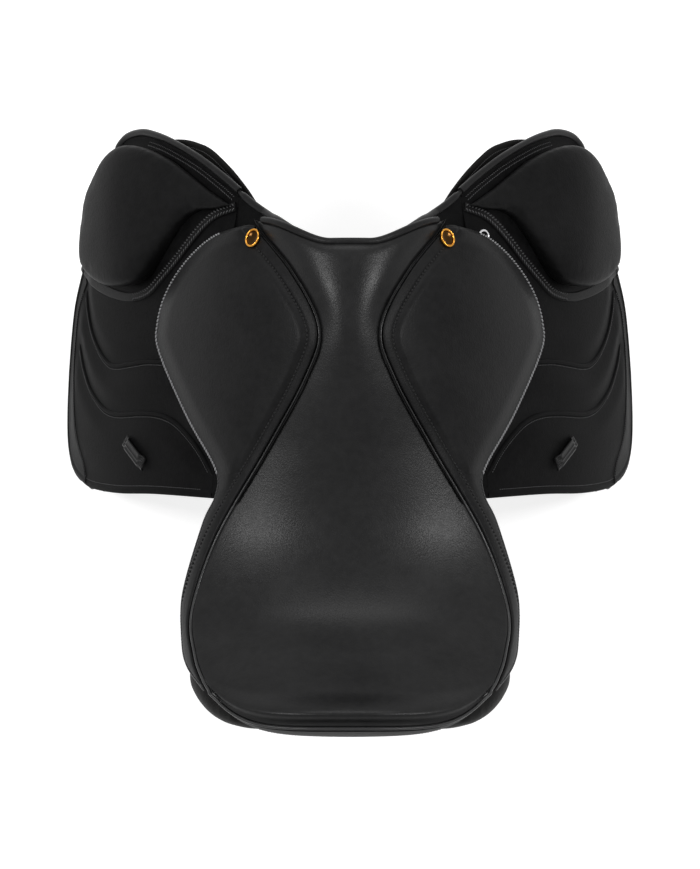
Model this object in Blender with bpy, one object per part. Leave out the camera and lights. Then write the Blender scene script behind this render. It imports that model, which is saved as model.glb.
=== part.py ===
"""Jumping saddle, built piece by piece on two shared shapes: the seat and the saddle's side.

Metres. +Y runs forward to the pommel, +X to the rider's right and +Z up. The origin lies on the
horse's back under the middle of the seat. Every right-hand piece is modelled, and the left-hand
piece is its mirror copy.
"""

import math

import bmesh
import bpy
from mathutils import Matrix, Vector

# Clearances
GAP = 0.0003
RUNNING_GAP = 0.0010

# Side of the saddle: the arc, seen from the front, that flaps and girth straps lie on
SIDE_TOP_X = 0.045
SIDE_TOP_Z = 0.118
SIDE_LENGTH = 0.412
SIDE_TOP_SLOPE = math.radians(36)
SIDE_END_SLOPE = math.radians(74)
FACET = 0.026

# Leather, foam and wood
FLAP_THICKNESS = 0.0040
GUARD_THICKNESS = 0.0016
BILLET_THICKNESS = 0.0035
SWEAT_THICKNESS = 0.0030
POINT_THICKNESS = 0.0090
SKIRT_THICKNESS = 0.0050
COVER_THICKNESS = 0.0030
FOAM_THICKNESS = 0.0160
WEB_THICKNESS = 0.0017
TREE_THICKNESS = 0.0100
PLATE_THICKNESS = 0.0040
FACING_THICKNESS = 0.0035

# Seat, front row to cantle: middle y and z, then the welt's x, y and z
SEAT_ROWS = [
    (0.205, 0.158, 0.084, 0.2315, 0.106),
    (0.166, 0.159, 0.050, 0.186, 0.133),
    (0.128, 0.154, 0.0256, 0.134, 0.146),
    (0.085, 0.142, 0.037, 0.092, 0.134),
    (0.022, 0.121, 0.072, 0.030, 0.107),
    (-0.045, 0.112, 0.1156, -0.044, 0.087),
    (-0.108, 0.126, 0.1365, -0.107, 0.095),
    (-0.152, 0.157, 0.133, -0.146, 0.121),
    (-0.187, 0.188, 0.125, -0.169, 0.139),
    (-0.211, 0.196, 0.1185, -0.180, 0.147),
]
SEAT_CROWN = 2.2
CREST_HEIGHT = 0.009
CREST_START = 0.87
CREST_TOP = 0.955
SEAT_COLUMNS = 16
SEAT_CELL_ROWS = 24
RIM_SWEEP = 5.0
WELT_RADIUS = 0.0022
ROLL_RADIUS = 0.0036

# Skirt's outer edge, front to back: y, x, and height above the flap
SKIRT_EDGE = [
    (0.2315, 0.0934, 0.006),
    (0.2276, 0.1221, 0.0065),
    (0.2111, 0.1475, 0.002),
    (0.1863, 0.1668, 0.0),
    (0.1590, 0.1757, 0.0),
    (0.1320, 0.1740, 0.0),
    (0.0690, 0.1468, 0.0),
    (0.0182, 0.1195, 0.004),
    (-0.005, 0.1190, 0.009),
    (-0.030, 0.1306, 0.015),
    (-0.090, 0.1475, 0.036),
    (-0.128, 0.1480, 0.050),
    (-0.156, 0.1430, 0.062),
    (-0.182, 0.1240, 0.078),
]
SKIRT_BULGE = 0.085
SKIRT_LIFT = 0.0032

# Fold lines, front and back end: y and x
SKIRT_FOLD = ((0.228, 0.0845), (0.008, 0.1100))
FLAP_FOLD = ((0.268, 0.0989), (-0.006, 0.1240))
FLEX_WIDTH = 0.0050
FLAP_REAR = -0.045
LOBE_FRONT = 0.230
LOBE_REAR = 0.012
PATCH_REAR = 0.200
PATCH_FULL = PATCH_REAR + (LOBE_FRONT - PATCH_REAR) / 3
PATCH_OUT = 0.0966

# Flap, sweat flap and knee block outlines: distance down the leather, then y
FLAP_OUTLINE = [
    (0.0905, 0.2835),
    (0.1245, 0.3055),
    (0.1650, 0.3260),
    (0.1950, 0.3375),
    (0.2160, 0.3425),
    (0.2420, 0.3425),
    (0.2640, 0.3340),
    (0.2900, 0.3080),
    (0.3140, 0.2730),
    (0.3400, 0.2380),
    (0.3720, 0.2010),
    (0.3880, 0.1600),
    (0.3970, 0.1200),
    (0.3990, 0.0930),
    (0.3960, 0.0690),
    (0.3830, 0.0485),
    (0.3640, 0.0350),
    (0.3240, 0.0195),
    (0.2600, 0.0095),
    (0.1900, 0.0035),
]
SWEAT_OUTLINE = [
    (0.090, 0.0200),
    (0.090, 0.2275),
    (0.056, 0.2275),
    (0.056, 0.2520),
    (0.0722, 0.2720),
    (0.0945, 0.2940),
    (0.1208, 0.3140),
    (0.1430, 0.3237),
    (0.1645, 0.3295),
    (0.190, 0.3320),
    (0.220, 0.3300),
    (0.258, 0.3120),
    (0.306, 0.2620),
    (0.340, 0.2150),
    (0.366, 0.1750),
    (0.376, 0.1200),
    (0.370, 0.0700),
    (0.342, 0.0400),
    (0.262, 0.0250),
]
BLOCK_OUTLINE = [
    (0.0780, 0.2570),
    (0.0985, 0.2690),
    (0.1245, 0.2860),
    (0.1540, 0.3020),
    (0.1840, 0.3190),
    (0.2150, 0.3300),
    (0.2390, 0.3325),
    (0.2600, 0.3240),
    (0.2805, 0.3020),
    (0.2965, 0.2690),
    (0.3030, 0.2405),
    (0.3000, 0.2205),
    (0.2790, 0.2080),
    (0.2460, 0.1990),
    (0.2170, 0.1955),
    (0.1980, 0.1965),
    (0.1860, 0.2030),
    (0.1700, 0.2170),
    (0.1530, 0.2325),
    (0.1340, 0.2475),
    (0.1140, 0.2540),
]
BLOCK_SPINE = ((0.092, 0.2605), (0.230, 0.2600))
BLOCK_HEIGHTS = (0.007, 0.031)

# Stirrup bar and its safety catch
BAR_PLACE = (0.0685, 0.138)
BAR_LENGTH = 0.076
BAR_RAIL_HEIGHT = 0.010
BAR_RAIL_THICKNESS = 0.0042
BAR_SLOT = 0.0062
BAR_PLATE_HEIGHT = 0.020
BAR_PLATE_THICKNESS = 0.0024
BAR_ARM = 0.010
CATCH_LENGTH = 0.017
CATCH_THICKNESS = 0.0019
CATCH_PIN_RADIUS = 0.0013

# Girth straps
BILLET_CENTRES = (0.124, 0.078, 0.032)
BILLET_WIDTH = 0.025
BILLET_TOP = 0.116
BILLET_END = 0.352
BILLET_HOLE_RADIUS = 0.0022
BILLET_HOLES = 6
BILLET_HOLE_PITCH = 0.022
GUARD_TOP = 0.212
GUARD_END = 0.311

# Keeper, dee and nail
KEEPER_PLACE = (0.2240, 0.0438)
KEEPER_TURN = math.radians(43)
KEEPER_LENGTH = 0.044
KEEPER_WIDTH = 0.0125
KEEPER_RISE = 0.0022
KEEPER_THICKNESS = 0.0022
DEE_PLACE = (0.0884, 0.2214)
DEE_TURN = math.radians(45)
DEE_WIRE_RADIUS = 0.00125
DEE_WIDTH = 0.0140
DEE_REACH = 0.0140
CHAPE_LENGTH = 0.0088
CHAPE_THICKNESS = 0.0012
NAIL_PLACE = (0.0836, 0.2182)
NAIL_LENGTH_RADIUS = 0.0087
NAIL_WIDTH_RADIUS = 0.0072
NAIL_HEIGHT = 0.0030
NAIL_SHANK_RADIUS = 0.0016
NAIL_SHANK = 0.0240

# Panels, front to back: y, channel x, outer x, channel height of the bearing face, its slope
PANEL_STATIONS = [
    (0.226, 0.050, 0.128, 0.047, 0.90),
    (0.190, 0.044, 0.158, 0.044, 0.84),
    (0.130, 0.038, 0.160, 0.040, 0.74),
    (0.060, 0.036, 0.140, 0.032, 0.58),
    (-0.010, 0.036, 0.130, 0.027, 0.46),
    (-0.080, 0.038, 0.143, 0.027, 0.36),
    (-0.140, 0.042, 0.1475, 0.033, 0.29),
    (-0.182, 0.046, 0.1355, 0.043, 0.24),
    (-0.2035, 0.052, 0.1110, 0.054, 0.20),
    (-0.2115, 0.060, 0.0820, 0.068, 0.16),
]

COLLECTION = bpy.data.collections.new("jumping_saddle")
CUTTERS = bpy.data.collections.new("cutters")

FINISHES = {
    "black_leather": ((0.012, 0.012, 0.013), 0.42, 0.0),
    "lining_leather": ((0.018, 0.017, 0.017), 0.60, 0.0),
    "wood": ((0.55, 0.38, 0.22), 0.55, 0.0),
    "foam": ((0.75, 0.72, 0.62), 0.90, 0.0),
    "webbing": ((0.62, 0.60, 0.55), 0.95, 0.0),
    "steel": ((0.60, 0.60, 0.61), 0.28, 1.0),
    "gold": ((0.80, 0.52, 0.20), 0.25, 1.0),
}


# Curves and surfaces

def ease(value):
    """0 to 1 with a soft start and a soft end."""
    value = min(max(value, 0.0), 1.0)
    return value * value * (3 - 2 * value)


def mix(first, second, share):
    return first + (second - first) * share


def through(points, place):
    """The point at `place` (0 to 1) on a smooth curve through `points`."""
    last = len(points) - 1
    spot = min(max(place, 0.0), 1.0) * last
    index = min(int(spot), last - 1)
    t = spot - index
    before = points[max(index - 1, 0)]
    start = points[index]
    end = points[index + 1]
    after = points[min(index + 2, last)]
    return tuple(
        b + 0.5 * t * (c - a + t * (2 * a - 5 * b + 4 * c - d + t * (3 * (b - c) + d - a)))
        for a, b, c, d in zip(before, start, end, after)
    )


def read(line, key):
    """The values beside `key` in a list of tuples sorted from the largest first value down."""
    if key >= line[0][0]:
        return line[0][1:]
    for upper, lower in zip(line, line[1:]):
        if key >= lower[0]:
            share = (upper[0] - key) / (upper[0] - lower[0])
            return tuple(mix(a, b, share) for a, b in zip(upper[1:], lower[1:]))
    return line[-1][1:]


SIDE_RADIUS = SIDE_LENGTH / (SIDE_END_SLOPE - SIDE_TOP_SLOPE)


def side(distance, out=0.0):
    """x and z on the saddle's side, `distance` down the leather and `out` from the flap's face."""
    slope = SIDE_TOP_SLOPE + distance / SIDE_RADIUS
    x = SIDE_TOP_X + SIDE_RADIUS * (math.sin(slope) - math.sin(SIDE_TOP_SLOPE))
    z = SIDE_TOP_Z - SIDE_RADIUS * (math.cos(SIDE_TOP_SLOPE) - math.cos(slope))
    return x + out * math.sin(slope), z + out * math.cos(slope)


def side_distance(x):
    """How far down the leather the side reaches `x`."""
    return SIDE_RADIUS * (math.asin(math.sin(SIDE_TOP_SLOPE) + (x - SIDE_TOP_X) / SIDE_RADIUS) - SIDE_TOP_SLOPE)


def side_height(x):
    return side(side_distance(x))[1]


def side_place(distance, y, out):
    x, z = side(distance, out)
    return Vector((x, y, z))


def side_frame(distance, y, out, turn=0.0):
    """A frame on the side: local X down the leather, Y forward, Z out; turned about Z."""
    slope = SIDE_TOP_SLOPE + distance / SIDE_RADIUS
    down = Vector((math.cos(slope), 0, -math.sin(slope)))
    outward = Vector((math.sin(slope), 0, math.cos(slope)))
    axes = Matrix((down, (0, 1, 0), outward)).transposed().to_4x4()
    return Matrix.Translation(side_place(distance, y, out)) @ axes @ Matrix.Rotation(turn, 4, "Z")


def seat_point(across, back):
    """A point on top of the seat: `across` runs -1 to 1, `back` 0 at the pommel to 1 at the rim."""
    middle_y, middle_z, edge_x, edge_y, edge_z = through(SEAT_ROWS, back)
    reach = min(abs(across), 1.0)
    sweep = mix(ease((reach - 0.21) / 0.88), reach ** RIM_SWEEP, ease((back - 0.1) / 0.8))
    return Vector((
        edge_x * across,
        mix(middle_y, edge_y, sweep),
        mix(middle_z, edge_z, reach ** SEAT_CROWN),
    ))


def seat_skin(across, back, depth=0.0):
    """A point `depth` under the seat's top face."""
    step = 0.01
    along = seat_point(across, min(back + step, 1)) - seat_point(across, max(back - step, 0))
    aside = seat_point(min(across + step, 1), back) - seat_point(max(across - step, -1), back)
    return seat_point(across, back) + along.cross(aside).normalized() * -depth


def crest(across, back, depth):
    """How much the foam lifts the cover along the cantle's crest; nothing at the foam's underside."""
    rise = ease((back - CREST_START) / (CREST_TOP - CREST_START))
    fall = 1 - ease((back - CREST_TOP) / (1 - CREST_TOP))
    return CREST_HEIGHT * rise * fall * (1 - across ** 4) * max(1 - depth / (COVER_THICKNESS + FOAM_THICKNESS), 0)


def seat_underside(x, y, depth):
    """The height, over a place in plan, of the face `depth` under the seat's top."""
    low, high = 0.0, 1.0
    for _ in range(24):
        back = (low + high) / 2
        across = min(x / through(SEAT_ROWS, back)[2], 1)
        point = seat_skin(across, back, depth)
        if point.y > y:
            low = back
        else:
            high = back
    return point.z


def edge_out(across, back, along_row):
    """The direction out of the seat, square to its edge: a row's edge or a side edge."""
    step = 0.01
    if along_row:
        tangent = seat_point(min(across + step, 1), back) - seat_point(max(across - step, -1), back)
        inside = seat_point(across, 0.5) - seat_point(across, back)
    else:
        tangent = seat_point(across, min(back + step, 1)) - seat_point(across, max(back - step, 0))
        inside = seat_point(0, back) - seat_point(across, back)
    normal = (seat_skin(across, back) - seat_skin(across, back, step)).normalized()
    out = tangent.cross(normal).normalized()
    return -out if out.dot(inside) > 0 else out


def welt_line():
    """y, x and z of the seat's edge, front to back."""
    points = [seat_point(1, i / 90) for i in range(91)]
    return [(p.y, p.x, p.z) for p in points]


WELT = welt_line()
SKIRT_RIM = [through(SKIRT_EDGE, i / 90) for i in range(91)]


def skirt_edge(y):
    """x and z of the skirt's outer edge, at mid thickness."""
    x, height = read(SKIRT_RIM, y)
    return x, side_height(x) + SKIRT_LIFT + SKIRT_THICKNESS / 2 + height


def skirt_height(x, y):
    """The skirt's mid-thickness height over a place in plan."""
    welt_x, welt_z = read(WELT, y)
    edge_x, edge_z = skirt_edge(y)
    share = (x - welt_x) / (edge_x - welt_x)
    chord = math.hypot(edge_x - welt_x, edge_z - welt_z)
    return mix(welt_z, edge_z, share) + 4 * SKIRT_BULGE * 1.35 * chord * share * (1 - share)


def skirt_skin(x, y, out):
    """A point `out` from the middle of the skirt's thickness."""
    step = 0.001
    slope_x = (skirt_height(x + step, y) - skirt_height(x - step, y)) / (2 * step)
    slope_y = (skirt_height(x, y + step) - skirt_height(x, y - step)) / (2 * step)
    return Vector((x, y, skirt_height(x, y))) + Vector((-slope_x, -slope_y, 1)).normalized() * out


def fold_x(fold, y):
    (front_y, front_x), (rear_y, rear_x) = fold
    return mix(front_x, rear_x, (front_y - y) / (front_y - rear_y))


# Materials and objects

def finish(name):
    """The Principled material of that name, made once."""
    if name in bpy.data.materials:
        return bpy.data.materials[name]
    colour, roughness, metallic = FINISHES[name]
    material = bpy.data.materials.new(name)
    material.use_nodes = True
    shader = material.node_tree.nodes["Principled BSDF"]
    shader.inputs["Base Color"].default_value = (*colour, 1)
    shader.inputs["Roughness"].default_value = roughness
    shader.inputs["Metallic"].default_value = metallic
    return material


def add(name, mesh, material=None, collection=COLLECTION):
    """Put a mesh in the scene as an object of that name."""
    piece = bpy.data.objects.new(name, mesh)
    collection.objects.link(piece)
    if material:
        mesh.materials.clear()
        mesh.materials.append(finish(material))
        mesh.shade_smooth()
        mesh.set_sharp_from_angle(angle=math.radians(35))
    else:
        piece.hide_render = True
        piece.display_type = "WIRE"
    return piece


def mesh_of(bm, name):
    """Turn a bmesh into a mesh whose faces point out."""
    bmesh.ops.remove_doubles(bm, verts=bm.verts, dist=0.00002)
    bmesh.ops.recalc_face_normals(bm, faces=bm.faces)
    mesh = bpy.data.meshes.new(name)
    bm.to_mesh(mesh)
    bm.free()
    return mesh


def flat_mesh(loops, thickness=1.0):
    """A flat plate in X and Y from closed outlines, the first one outside and the rest its holes."""
    curve = bpy.data.curves.new("outline", "CURVE")
    curve.dimensions = "2D"
    curve.fill_mode = "BOTH"
    curve.extrude = thickness / 2
    for loop in loops:
        spline = curve.splines.new("POLY")
        spline.points.add(len(loop) - 1)
        spline.use_cyclic_u = True
        for point, (x, y) in zip(spline.points, loop):
            point.co = (x, y, 0, 1)
    holder = bpy.data.objects.new("outline", curve)
    COLLECTION.objects.link(holder)
    bpy.context.view_layer.update()
    mesh = bpy.data.meshes.new_from_object(holder.evaluated_get(bpy.context.evaluated_depsgraph_get()))
    bpy.data.objects.remove(holder)
    bpy.data.curves.remove(curve)
    return mesh


def rounded(loop, steps=3, share=0.25):
    """Cut each corner of a closed outline back by `share` of its sides and round it."""
    result = []
    for index, corner in enumerate(loop):
        corner = Vector(corner)
        before = Vector(loop[index - 1])
        after = Vector(loop[(index + 1) % len(loop)])
        cut = share * min((before - corner).length, (after - corner).length)
        start = corner + (before - corner).normalized() * cut
        end = corner + (after - corner).normalized() * cut
        for step in range(steps + 1):
            t = step / steps
            result.append(tuple((1 - t) ** 2 * start + 2 * t * (1 - t) * corner + t * t * end))
    return result


def circle(centre, radius, sides=10):
    return [
        (centre[0] + radius * math.cos(2 * math.pi * i / sides), centre[1] + radius * math.sin(2 * math.pi * i / sides))
        for i in range(sides)
    ]


def bend_to_side(bm):
    """Lay a flat solid (distance down, y, height out) on the side, creased once every facet."""
    for step in range(1, int(SIDE_LENGTH / FACET) + 1):
        geometry = bm.verts[:] + bm.edges[:] + bm.faces[:]
        bmesh.ops.bisect_plane(bm, geom=geometry, dist=0.0002, plane_co=(step * FACET, 0, 0), plane_no=(1, 0, 0))
    for vertex in bm.verts:
        vertex.co = side_place(*vertex.co)


def on_side(name, loops, outer, thickness, material):
    """A flat cut of leather, laid on the saddle's side: outlines in distance down and y."""
    bm = bmesh.new()
    mesh = flat_mesh(loops)
    bm.from_mesh(mesh)
    bpy.data.meshes.remove(mesh)
    bmesh.ops.remove_doubles(bm, verts=bm.verts, dist=0.00002)
    bmesh.ops.dissolve_limit(bm, angle_limit=math.radians(1), verts=bm.verts, edges=bm.edges)
    for vertex in bm.verts:
        vertex.co.z = outer - thickness * (0.5 - vertex.co.z)
    bend_to_side(bm)
    return add(name, mesh_of(bm, name), material)


def laid(name, columns, rows, place, material, keep=None):
    """A sheet between two faces: place(u, v, level) gives its shape, level 0 inside and 1 outside."""
    bm = bmesh.new()
    bmesh.ops.create_grid(bm, x_segments=columns, y_segments=rows, size=0.5)
    if keep:
        dropped = []
        for face in bm.faces:
            middle = face.calc_center_median()
            if not keep(middle.x + 0.5, middle.y + 0.5):
                dropped.append(face)
        bmesh.ops.delete(bm, geom=dropped, context="FACES")
    bmesh.ops.solidify(bm, geom=bm.faces[:], thickness=1.0)
    low = min(vertex.co.z for vertex in bm.verts)
    for vertex in bm.verts:
        vertex.co = place(vertex.co.x + 0.5, vertex.co.y + 0.5, vertex.co.z - low)
    return add(name, mesh_of(bm, name), material)


def loft(loops):
    """A solid through a row of like loops of points, closed at both ends."""
    bm = bmesh.new()
    rows = [[bm.verts.new(point) for point in loop] for loop in loops]
    for lower, upper in zip(rows, rows[1:]):
        for index in range(len(lower)):
            bm.faces.new((lower[index - 1], lower[index], upper[index], upper[index - 1]))
    bm.faces.new(rows[0])
    bm.faces.new(rows[-1])
    return bm


def tube(name, points, radius, material, sides=2, cyclic=False):
    """A wire of round section along a line of points."""
    curve = bpy.data.curves.new(name, "CURVE")
    curve.dimensions = "3D"
    curve.bevel_depth = radius
    curve.bevel_resolution = sides
    curve.use_fill_caps = True
    spline = curve.splines.new("POLY")
    spline.use_cyclic_u = cyclic
    spline.points.add(len(points) - 1)
    for point, place in zip(spline.points, points):
        point.co = (*place, 1)
    holder = bpy.data.objects.new(name, curve)
    COLLECTION.objects.link(holder)
    bpy.context.view_layer.update()
    mesh = bpy.data.meshes.new_from_object(holder.evaluated_get(bpy.context.evaluated_depsgraph_get()))
    bpy.data.objects.remove(holder)
    bpy.data.curves.remove(curve)
    bm = bmesh.new()
    bm.from_mesh(mesh)
    bpy.data.meshes.remove(mesh)
    return add(name, mesh_of(bm, name), material)


def cylinder(name, radius, length, frame, material=None, sides=12):
    """A rod along its frame's Z, centred on the frame, as a cutter unless it has a material."""
    bm = bmesh.new()
    bmesh.ops.create_cone(bm, cap_ends=True, segments=sides, radius1=radius, radius2=radius, depth=length)
    piece = add(name, mesh_of(bm, name), material, COLLECTION if material else CUTTERS)
    piece.matrix_world = frame
    return piece


def combine(piece, other, operation):
    """Cut or join `other` and bake the result; the other object goes."""
    modifier = piece.modifiers.new(operation.lower(), "BOOLEAN")
    modifier.operation = operation
    modifier.object = other
    bpy.context.view_layer.update()
    baked = bpy.data.meshes.new_from_object(piece.evaluated_get(bpy.context.evaluated_depsgraph_get()))
    piece.modifiers.clear()
    old = piece.data
    piece.data = baked
    bpy.data.meshes.remove(old)
    bpy.data.objects.remove(other)


def set_origin(piece, point):
    """Move an object's origin without moving its shape."""
    bpy.context.view_layer.update()
    shift = piece.matrix_world.inverted() @ Vector(point)
    piece.data.transform(Matrix.Translation(-shift))
    piece.matrix_world = piece.matrix_world @ Matrix.Translation(shift)


def mirrored(piece, name):
    """The left-hand copy of a right-hand piece."""
    bpy.context.view_layer.update()
    mesh = piece.data.copy()
    mesh.name = name
    mesh.transform(Matrix.Scale(-1, 4, (1, 0, 0)) @ piece.matrix_world)
    mesh.flip_normals()
    copy = bpy.data.objects.new(name, mesh)
    COLLECTION.objects.link(copy)
    set_origin(copy, Matrix.Scale(-1, 4, (1, 0, 0)) @ piece.matrix_world.translation)
    return copy


def carry(parent, *children):
    """Hang pieces on the piece that carries them."""
    bpy.context.view_layer.update()
    for child in children:
        child.parent = parent
        child.matrix_parent_inverse = parent.matrix_world.inverted()


# Depths under the seat's top face, and levels under the flap's outer face

FOAM_DEPTH = COVER_THICKNESS + GAP
LONG_WEB_DEPTH = FOAM_DEPTH + FOAM_THICKNESS + GAP
CROSS_WEB_DEPTH = LONG_WEB_DEPTH + WEB_THICKNESS + GAP
TREE_DEPTH = CROSS_WEB_DEPTH + WEB_THICKNESS + GAP
PLATE_DEPTH = TREE_DEPTH + TREE_THICKNESS + GAP
GUARD_LEVEL = -FLAP_THICKNESS - GAP
BILLET_LEVEL = GUARD_LEVEL - GUARD_THICKNESS - RUNNING_GAP
SWEAT_LEVEL = BILLET_LEVEL - BILLET_THICKNESS - RUNNING_GAP
POINT_LEVEL = -FLAP_THICKNESS - GAP
PANEL_LEVEL = min(SWEAT_LEVEL - SWEAT_THICKNESS, POINT_LEVEL - POINT_THICKNESS) - GAP


# Seat and tree

def seat_layer(name, depth, thickness, reach, span, material, opening=None):
    """A layer of the seat on its shared grid: `reach` in columns and `span` in rows, as cells."""
    def place(u, v, level):
        across = math.sin(math.pi / 2 * (2 * u - 1))
        below = depth + thickness * (1 - level)
        point = seat_skin(across, v, below) + Vector((0, 0, crest(across, v, below)))
        # Deep layers would lean out in front of the pommel, so they end square under the cover.
        point.y = min(point.y, seat_point(across, 0).y)
        return point

    def keep(u, v):
        column = abs(u - 0.5) * SEAT_COLUMNS
        row = v * SEAT_CELL_ROWS
        if column > reach or not span[0] < row < span[1]:
            return False
        return opening is None or column > opening[0] or not opening[1] < row < opening[2]

    return laid(name, SEAT_COLUMNS, SEAT_CELL_ROWS, place, material, keep)


def seat_stack():
    rows = SEAT_CELL_ROWS
    seat_layer("seat_cover", 0, COVER_THICKNESS, 8, (0, rows), "black_leather")
    seat_layer("seat_foam", FOAM_DEPTH, FOAM_THICKNESS, 7, (0, rows - 1), "foam")
    seat_layer("seat_web_long", LONG_WEB_DEPTH, WEB_THICKNESS, 2, (2, rows - 2), "webbing")
    for name, start in (("seat_web_front", 8), ("seat_web_rear", 14)):
        seat_layer(name, CROSS_WEB_DEPTH, WEB_THICKNESS, 6, (start, start + 3), "webbing")
    seat_layer("tree", TREE_DEPTH, TREE_THICKNESS, 6, (0, rows - 1), "wood", opening=(2, 5, rows - 5))
    seat_layer("head_plate", PLATE_DEPTH, PLATE_THICKNESS, 6, (0, 3), "steel")


def seat_trim():
    """The welt round the seat, the roll over the pommel and the leather on the cantle's back."""
    seat_out = WELT_RADIUS + 2.5 * GAP
    route = []
    for i in range(32):
        back = mix(0.02, 0.975, i / 31)
        route.append(seat_skin(1, back, WELT_RADIUS) + edge_out(1, back, False) * seat_out)
    corner = (edge_out(1, 1, False) + edge_out(0.98, 1, True)).normalized()
    route.append(seat_skin(1, 1, WELT_RADIUS) + corner * seat_out * 1.2)
    for i in range(11):
        across = mix(0.95, 0, i / 10)
        route.append(seat_skin(across, 1, WELT_RADIUS) + edge_out(across, 1, True) * seat_out)
    mirror = [Vector((-p.x, p.y, p.z)) for p in reversed(route[:-1])]
    tube("seat_welt", route + mirror, WELT_RADIUS, "black_leather", sides=1)

    roll = []
    for i in range(25):
        across = mix(-0.95, 0.95, i / 24)
        out = edge_out(across, 0, True)
        roll.append(seat_skin(across, 0, ROLL_RADIUS) + out * (ROLL_RADIUS + 4 * GAP))
    tube("pommel_roll", roll, ROLL_RADIUS, "black_leather")

    def facing(u, v, level):
        across = (2 * u - 1) * 0.94
        rim = seat_skin(across, 1, 2 * WELT_RADIUS + 2 * GAP)
        out = edge_out(across, 1, True)
        out.z = 0
        out.normalize()
        corner = abs(2 * u - 1) ** 1.8
        drop = mix(0.056, 0.012, corner)
        lean = 0.0030 * v * (1 - corner)
        return rim + out * (GAP + lean + FACING_THICKNESS * level) + Vector((0, 0, -drop * v))
    laid("cantle_facing", 16, 4, facing, "black_leather")


# Skirt: fixed base, narrow flex strip at the fold, and the lobe that lifts

def skirt_sheet(name, inner, outer, stations, columns):
    """A sheet of the skirt between two plan lines, inner(y) and outer(y), at its own stations."""
    def place(u, v, level):
        y = stations[round(v * (len(stations) - 1))]
        x = mix(inner(y), outer(y), u)
        return skirt_skin(x, y, SKIRT_THICKNESS * (level - 0.5))
    return laid(name, columns, len(stations) - 1, place, "black_leather")


def spread(start, end, count):
    return [mix(start, end, i / count) for i in range(count + 1)]


def skirt_pieces():
    welt_room = 2 * WELT_RADIUS + 5.5 * GAP
    patch_rows = [LOBE_FRONT - 0.001]
    patch_rows += [mix(PATCH_REAR, LOBE_FRONT, share) for share in (0.9, 2 / 3)]
    patch_rows += [PATCH_FULL, mix(PATCH_REAR, PATCH_FULL, 0.5), PATCH_REAR + GAP]
    fold_rows = spread(PATCH_REAR, LOBE_REAR, 15)
    tail_rows = spread(LOBE_REAR - GAP, -0.176, 14)

    def welt_x(y):
        step = 0.002
        slant = (read(WELT, y + step)[0] - read(WELT, y - step)[0]) / (2 * step)
        return read(WELT, y)[0] + welt_room * math.hypot(1, slant)

    def patch_out(y):
        share = ease((y - PATCH_REAR) / (PATCH_FULL - PATCH_REAR))
        return mix(fold_x(SKIRT_FOLD, y) + FLEX_WIDTH, PATCH_OUT, share)

    def base_out(y):
        if y > PATCH_REAR:
            return patch_out(y)
        if y >= LOBE_REAR:
            return fold_x(SKIRT_FOLD, y)
        return skirt_edge(y)[0]

    def flex_in(y):
        return fold_x(SKIRT_FOLD, y) + GAP

    def flex_out(y):
        return fold_x(SKIRT_FOLD, y) + FLEX_WIDTH

    def lobe_in(y):
        return (patch_out(y) if y > PATCH_REAR else flex_out(y)) + GAP

    def lobe_out(y):
        return skirt_edge(y)[0]

    base = skirt_sheet("skirt_base_right", welt_x, base_out, patch_rows + fold_rows + tail_rows, 4)
    flex = skirt_sheet("skirt_flex_right", flex_in, flex_out, spread(PATCH_REAR - GAP, LOBE_REAR + GAP, 15), 1)
    lobe_rows = [LOBE_FRONT] + patch_rows[1:-1] + spread(PATCH_REAR, LOBE_REAR + GAP, 15)
    lobe = skirt_sheet("skirt_lobe_right", lobe_in, lobe_out, lobe_rows, 5)
    return base, flex, lobe


def fold_axis(fold, height, shift=0.0):
    """The two ends of a fold's axis, front then back: the leather never rises over this line."""
    ends = [Vector((x + shift, y, height(x + shift, y))) for y, x in fold]
    rise = 0.0
    for share in spread(0, 1, 20):
        on_line = ends[0].lerp(ends[1], share)
        rise = max(rise, height(on_line.x, on_line.y) - on_line.z)
    return [end + Vector((0, 0, rise + GAP)) for end in ends]


# Flap and what lies on and under it

def flap_fold_points(shift):
    """Front and back end of the flap's fold, in distance down and y, moved `shift` down."""
    return [(side_distance(x) + shift, y) for y, x in FLAP_FOLD]


def flap_pieces():
    front, back = flap_fold_points(GAP / 2)
    flap = on_side("flap_right", [rounded([front] + FLAP_OUTLINE + [back], 2, 0.3)], 0, FLAP_THICKNESS, "black_leather")
    front, back = flap_fold_points(-GAP / 2)
    window_end = BAR_PLACE[0] + BAR_PLATE_HEIGHT / 2 + 0.0005
    window_front = BAR_PLACE[1] + BAR_LENGTH / 2 + 0.004
    window_back = BAR_PLACE[1] - BAR_LENGTH / 2 - 0.018
    root = [
        front,
        back,
        (side_distance(0.100), back[1]),
        (side_distance(0.088), window_back - 0.045),
        (side_distance(0.062), window_back),
        (window_end, window_back),
        (window_end, window_front),
        (side_distance(0.074), window_front),
        (side_distance(0.0966), 0.206),
        (side_distance(0.0966), 0.2265),
        (0.0370, 0.2265),
        (0.0370, 0.2455),
        (0.0614, 0.2610),
    ]
    flap_root = on_side("flap_root_right", [root], 0, FLAP_THICKNESS, "black_leather")
    return flap, flap_root


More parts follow.
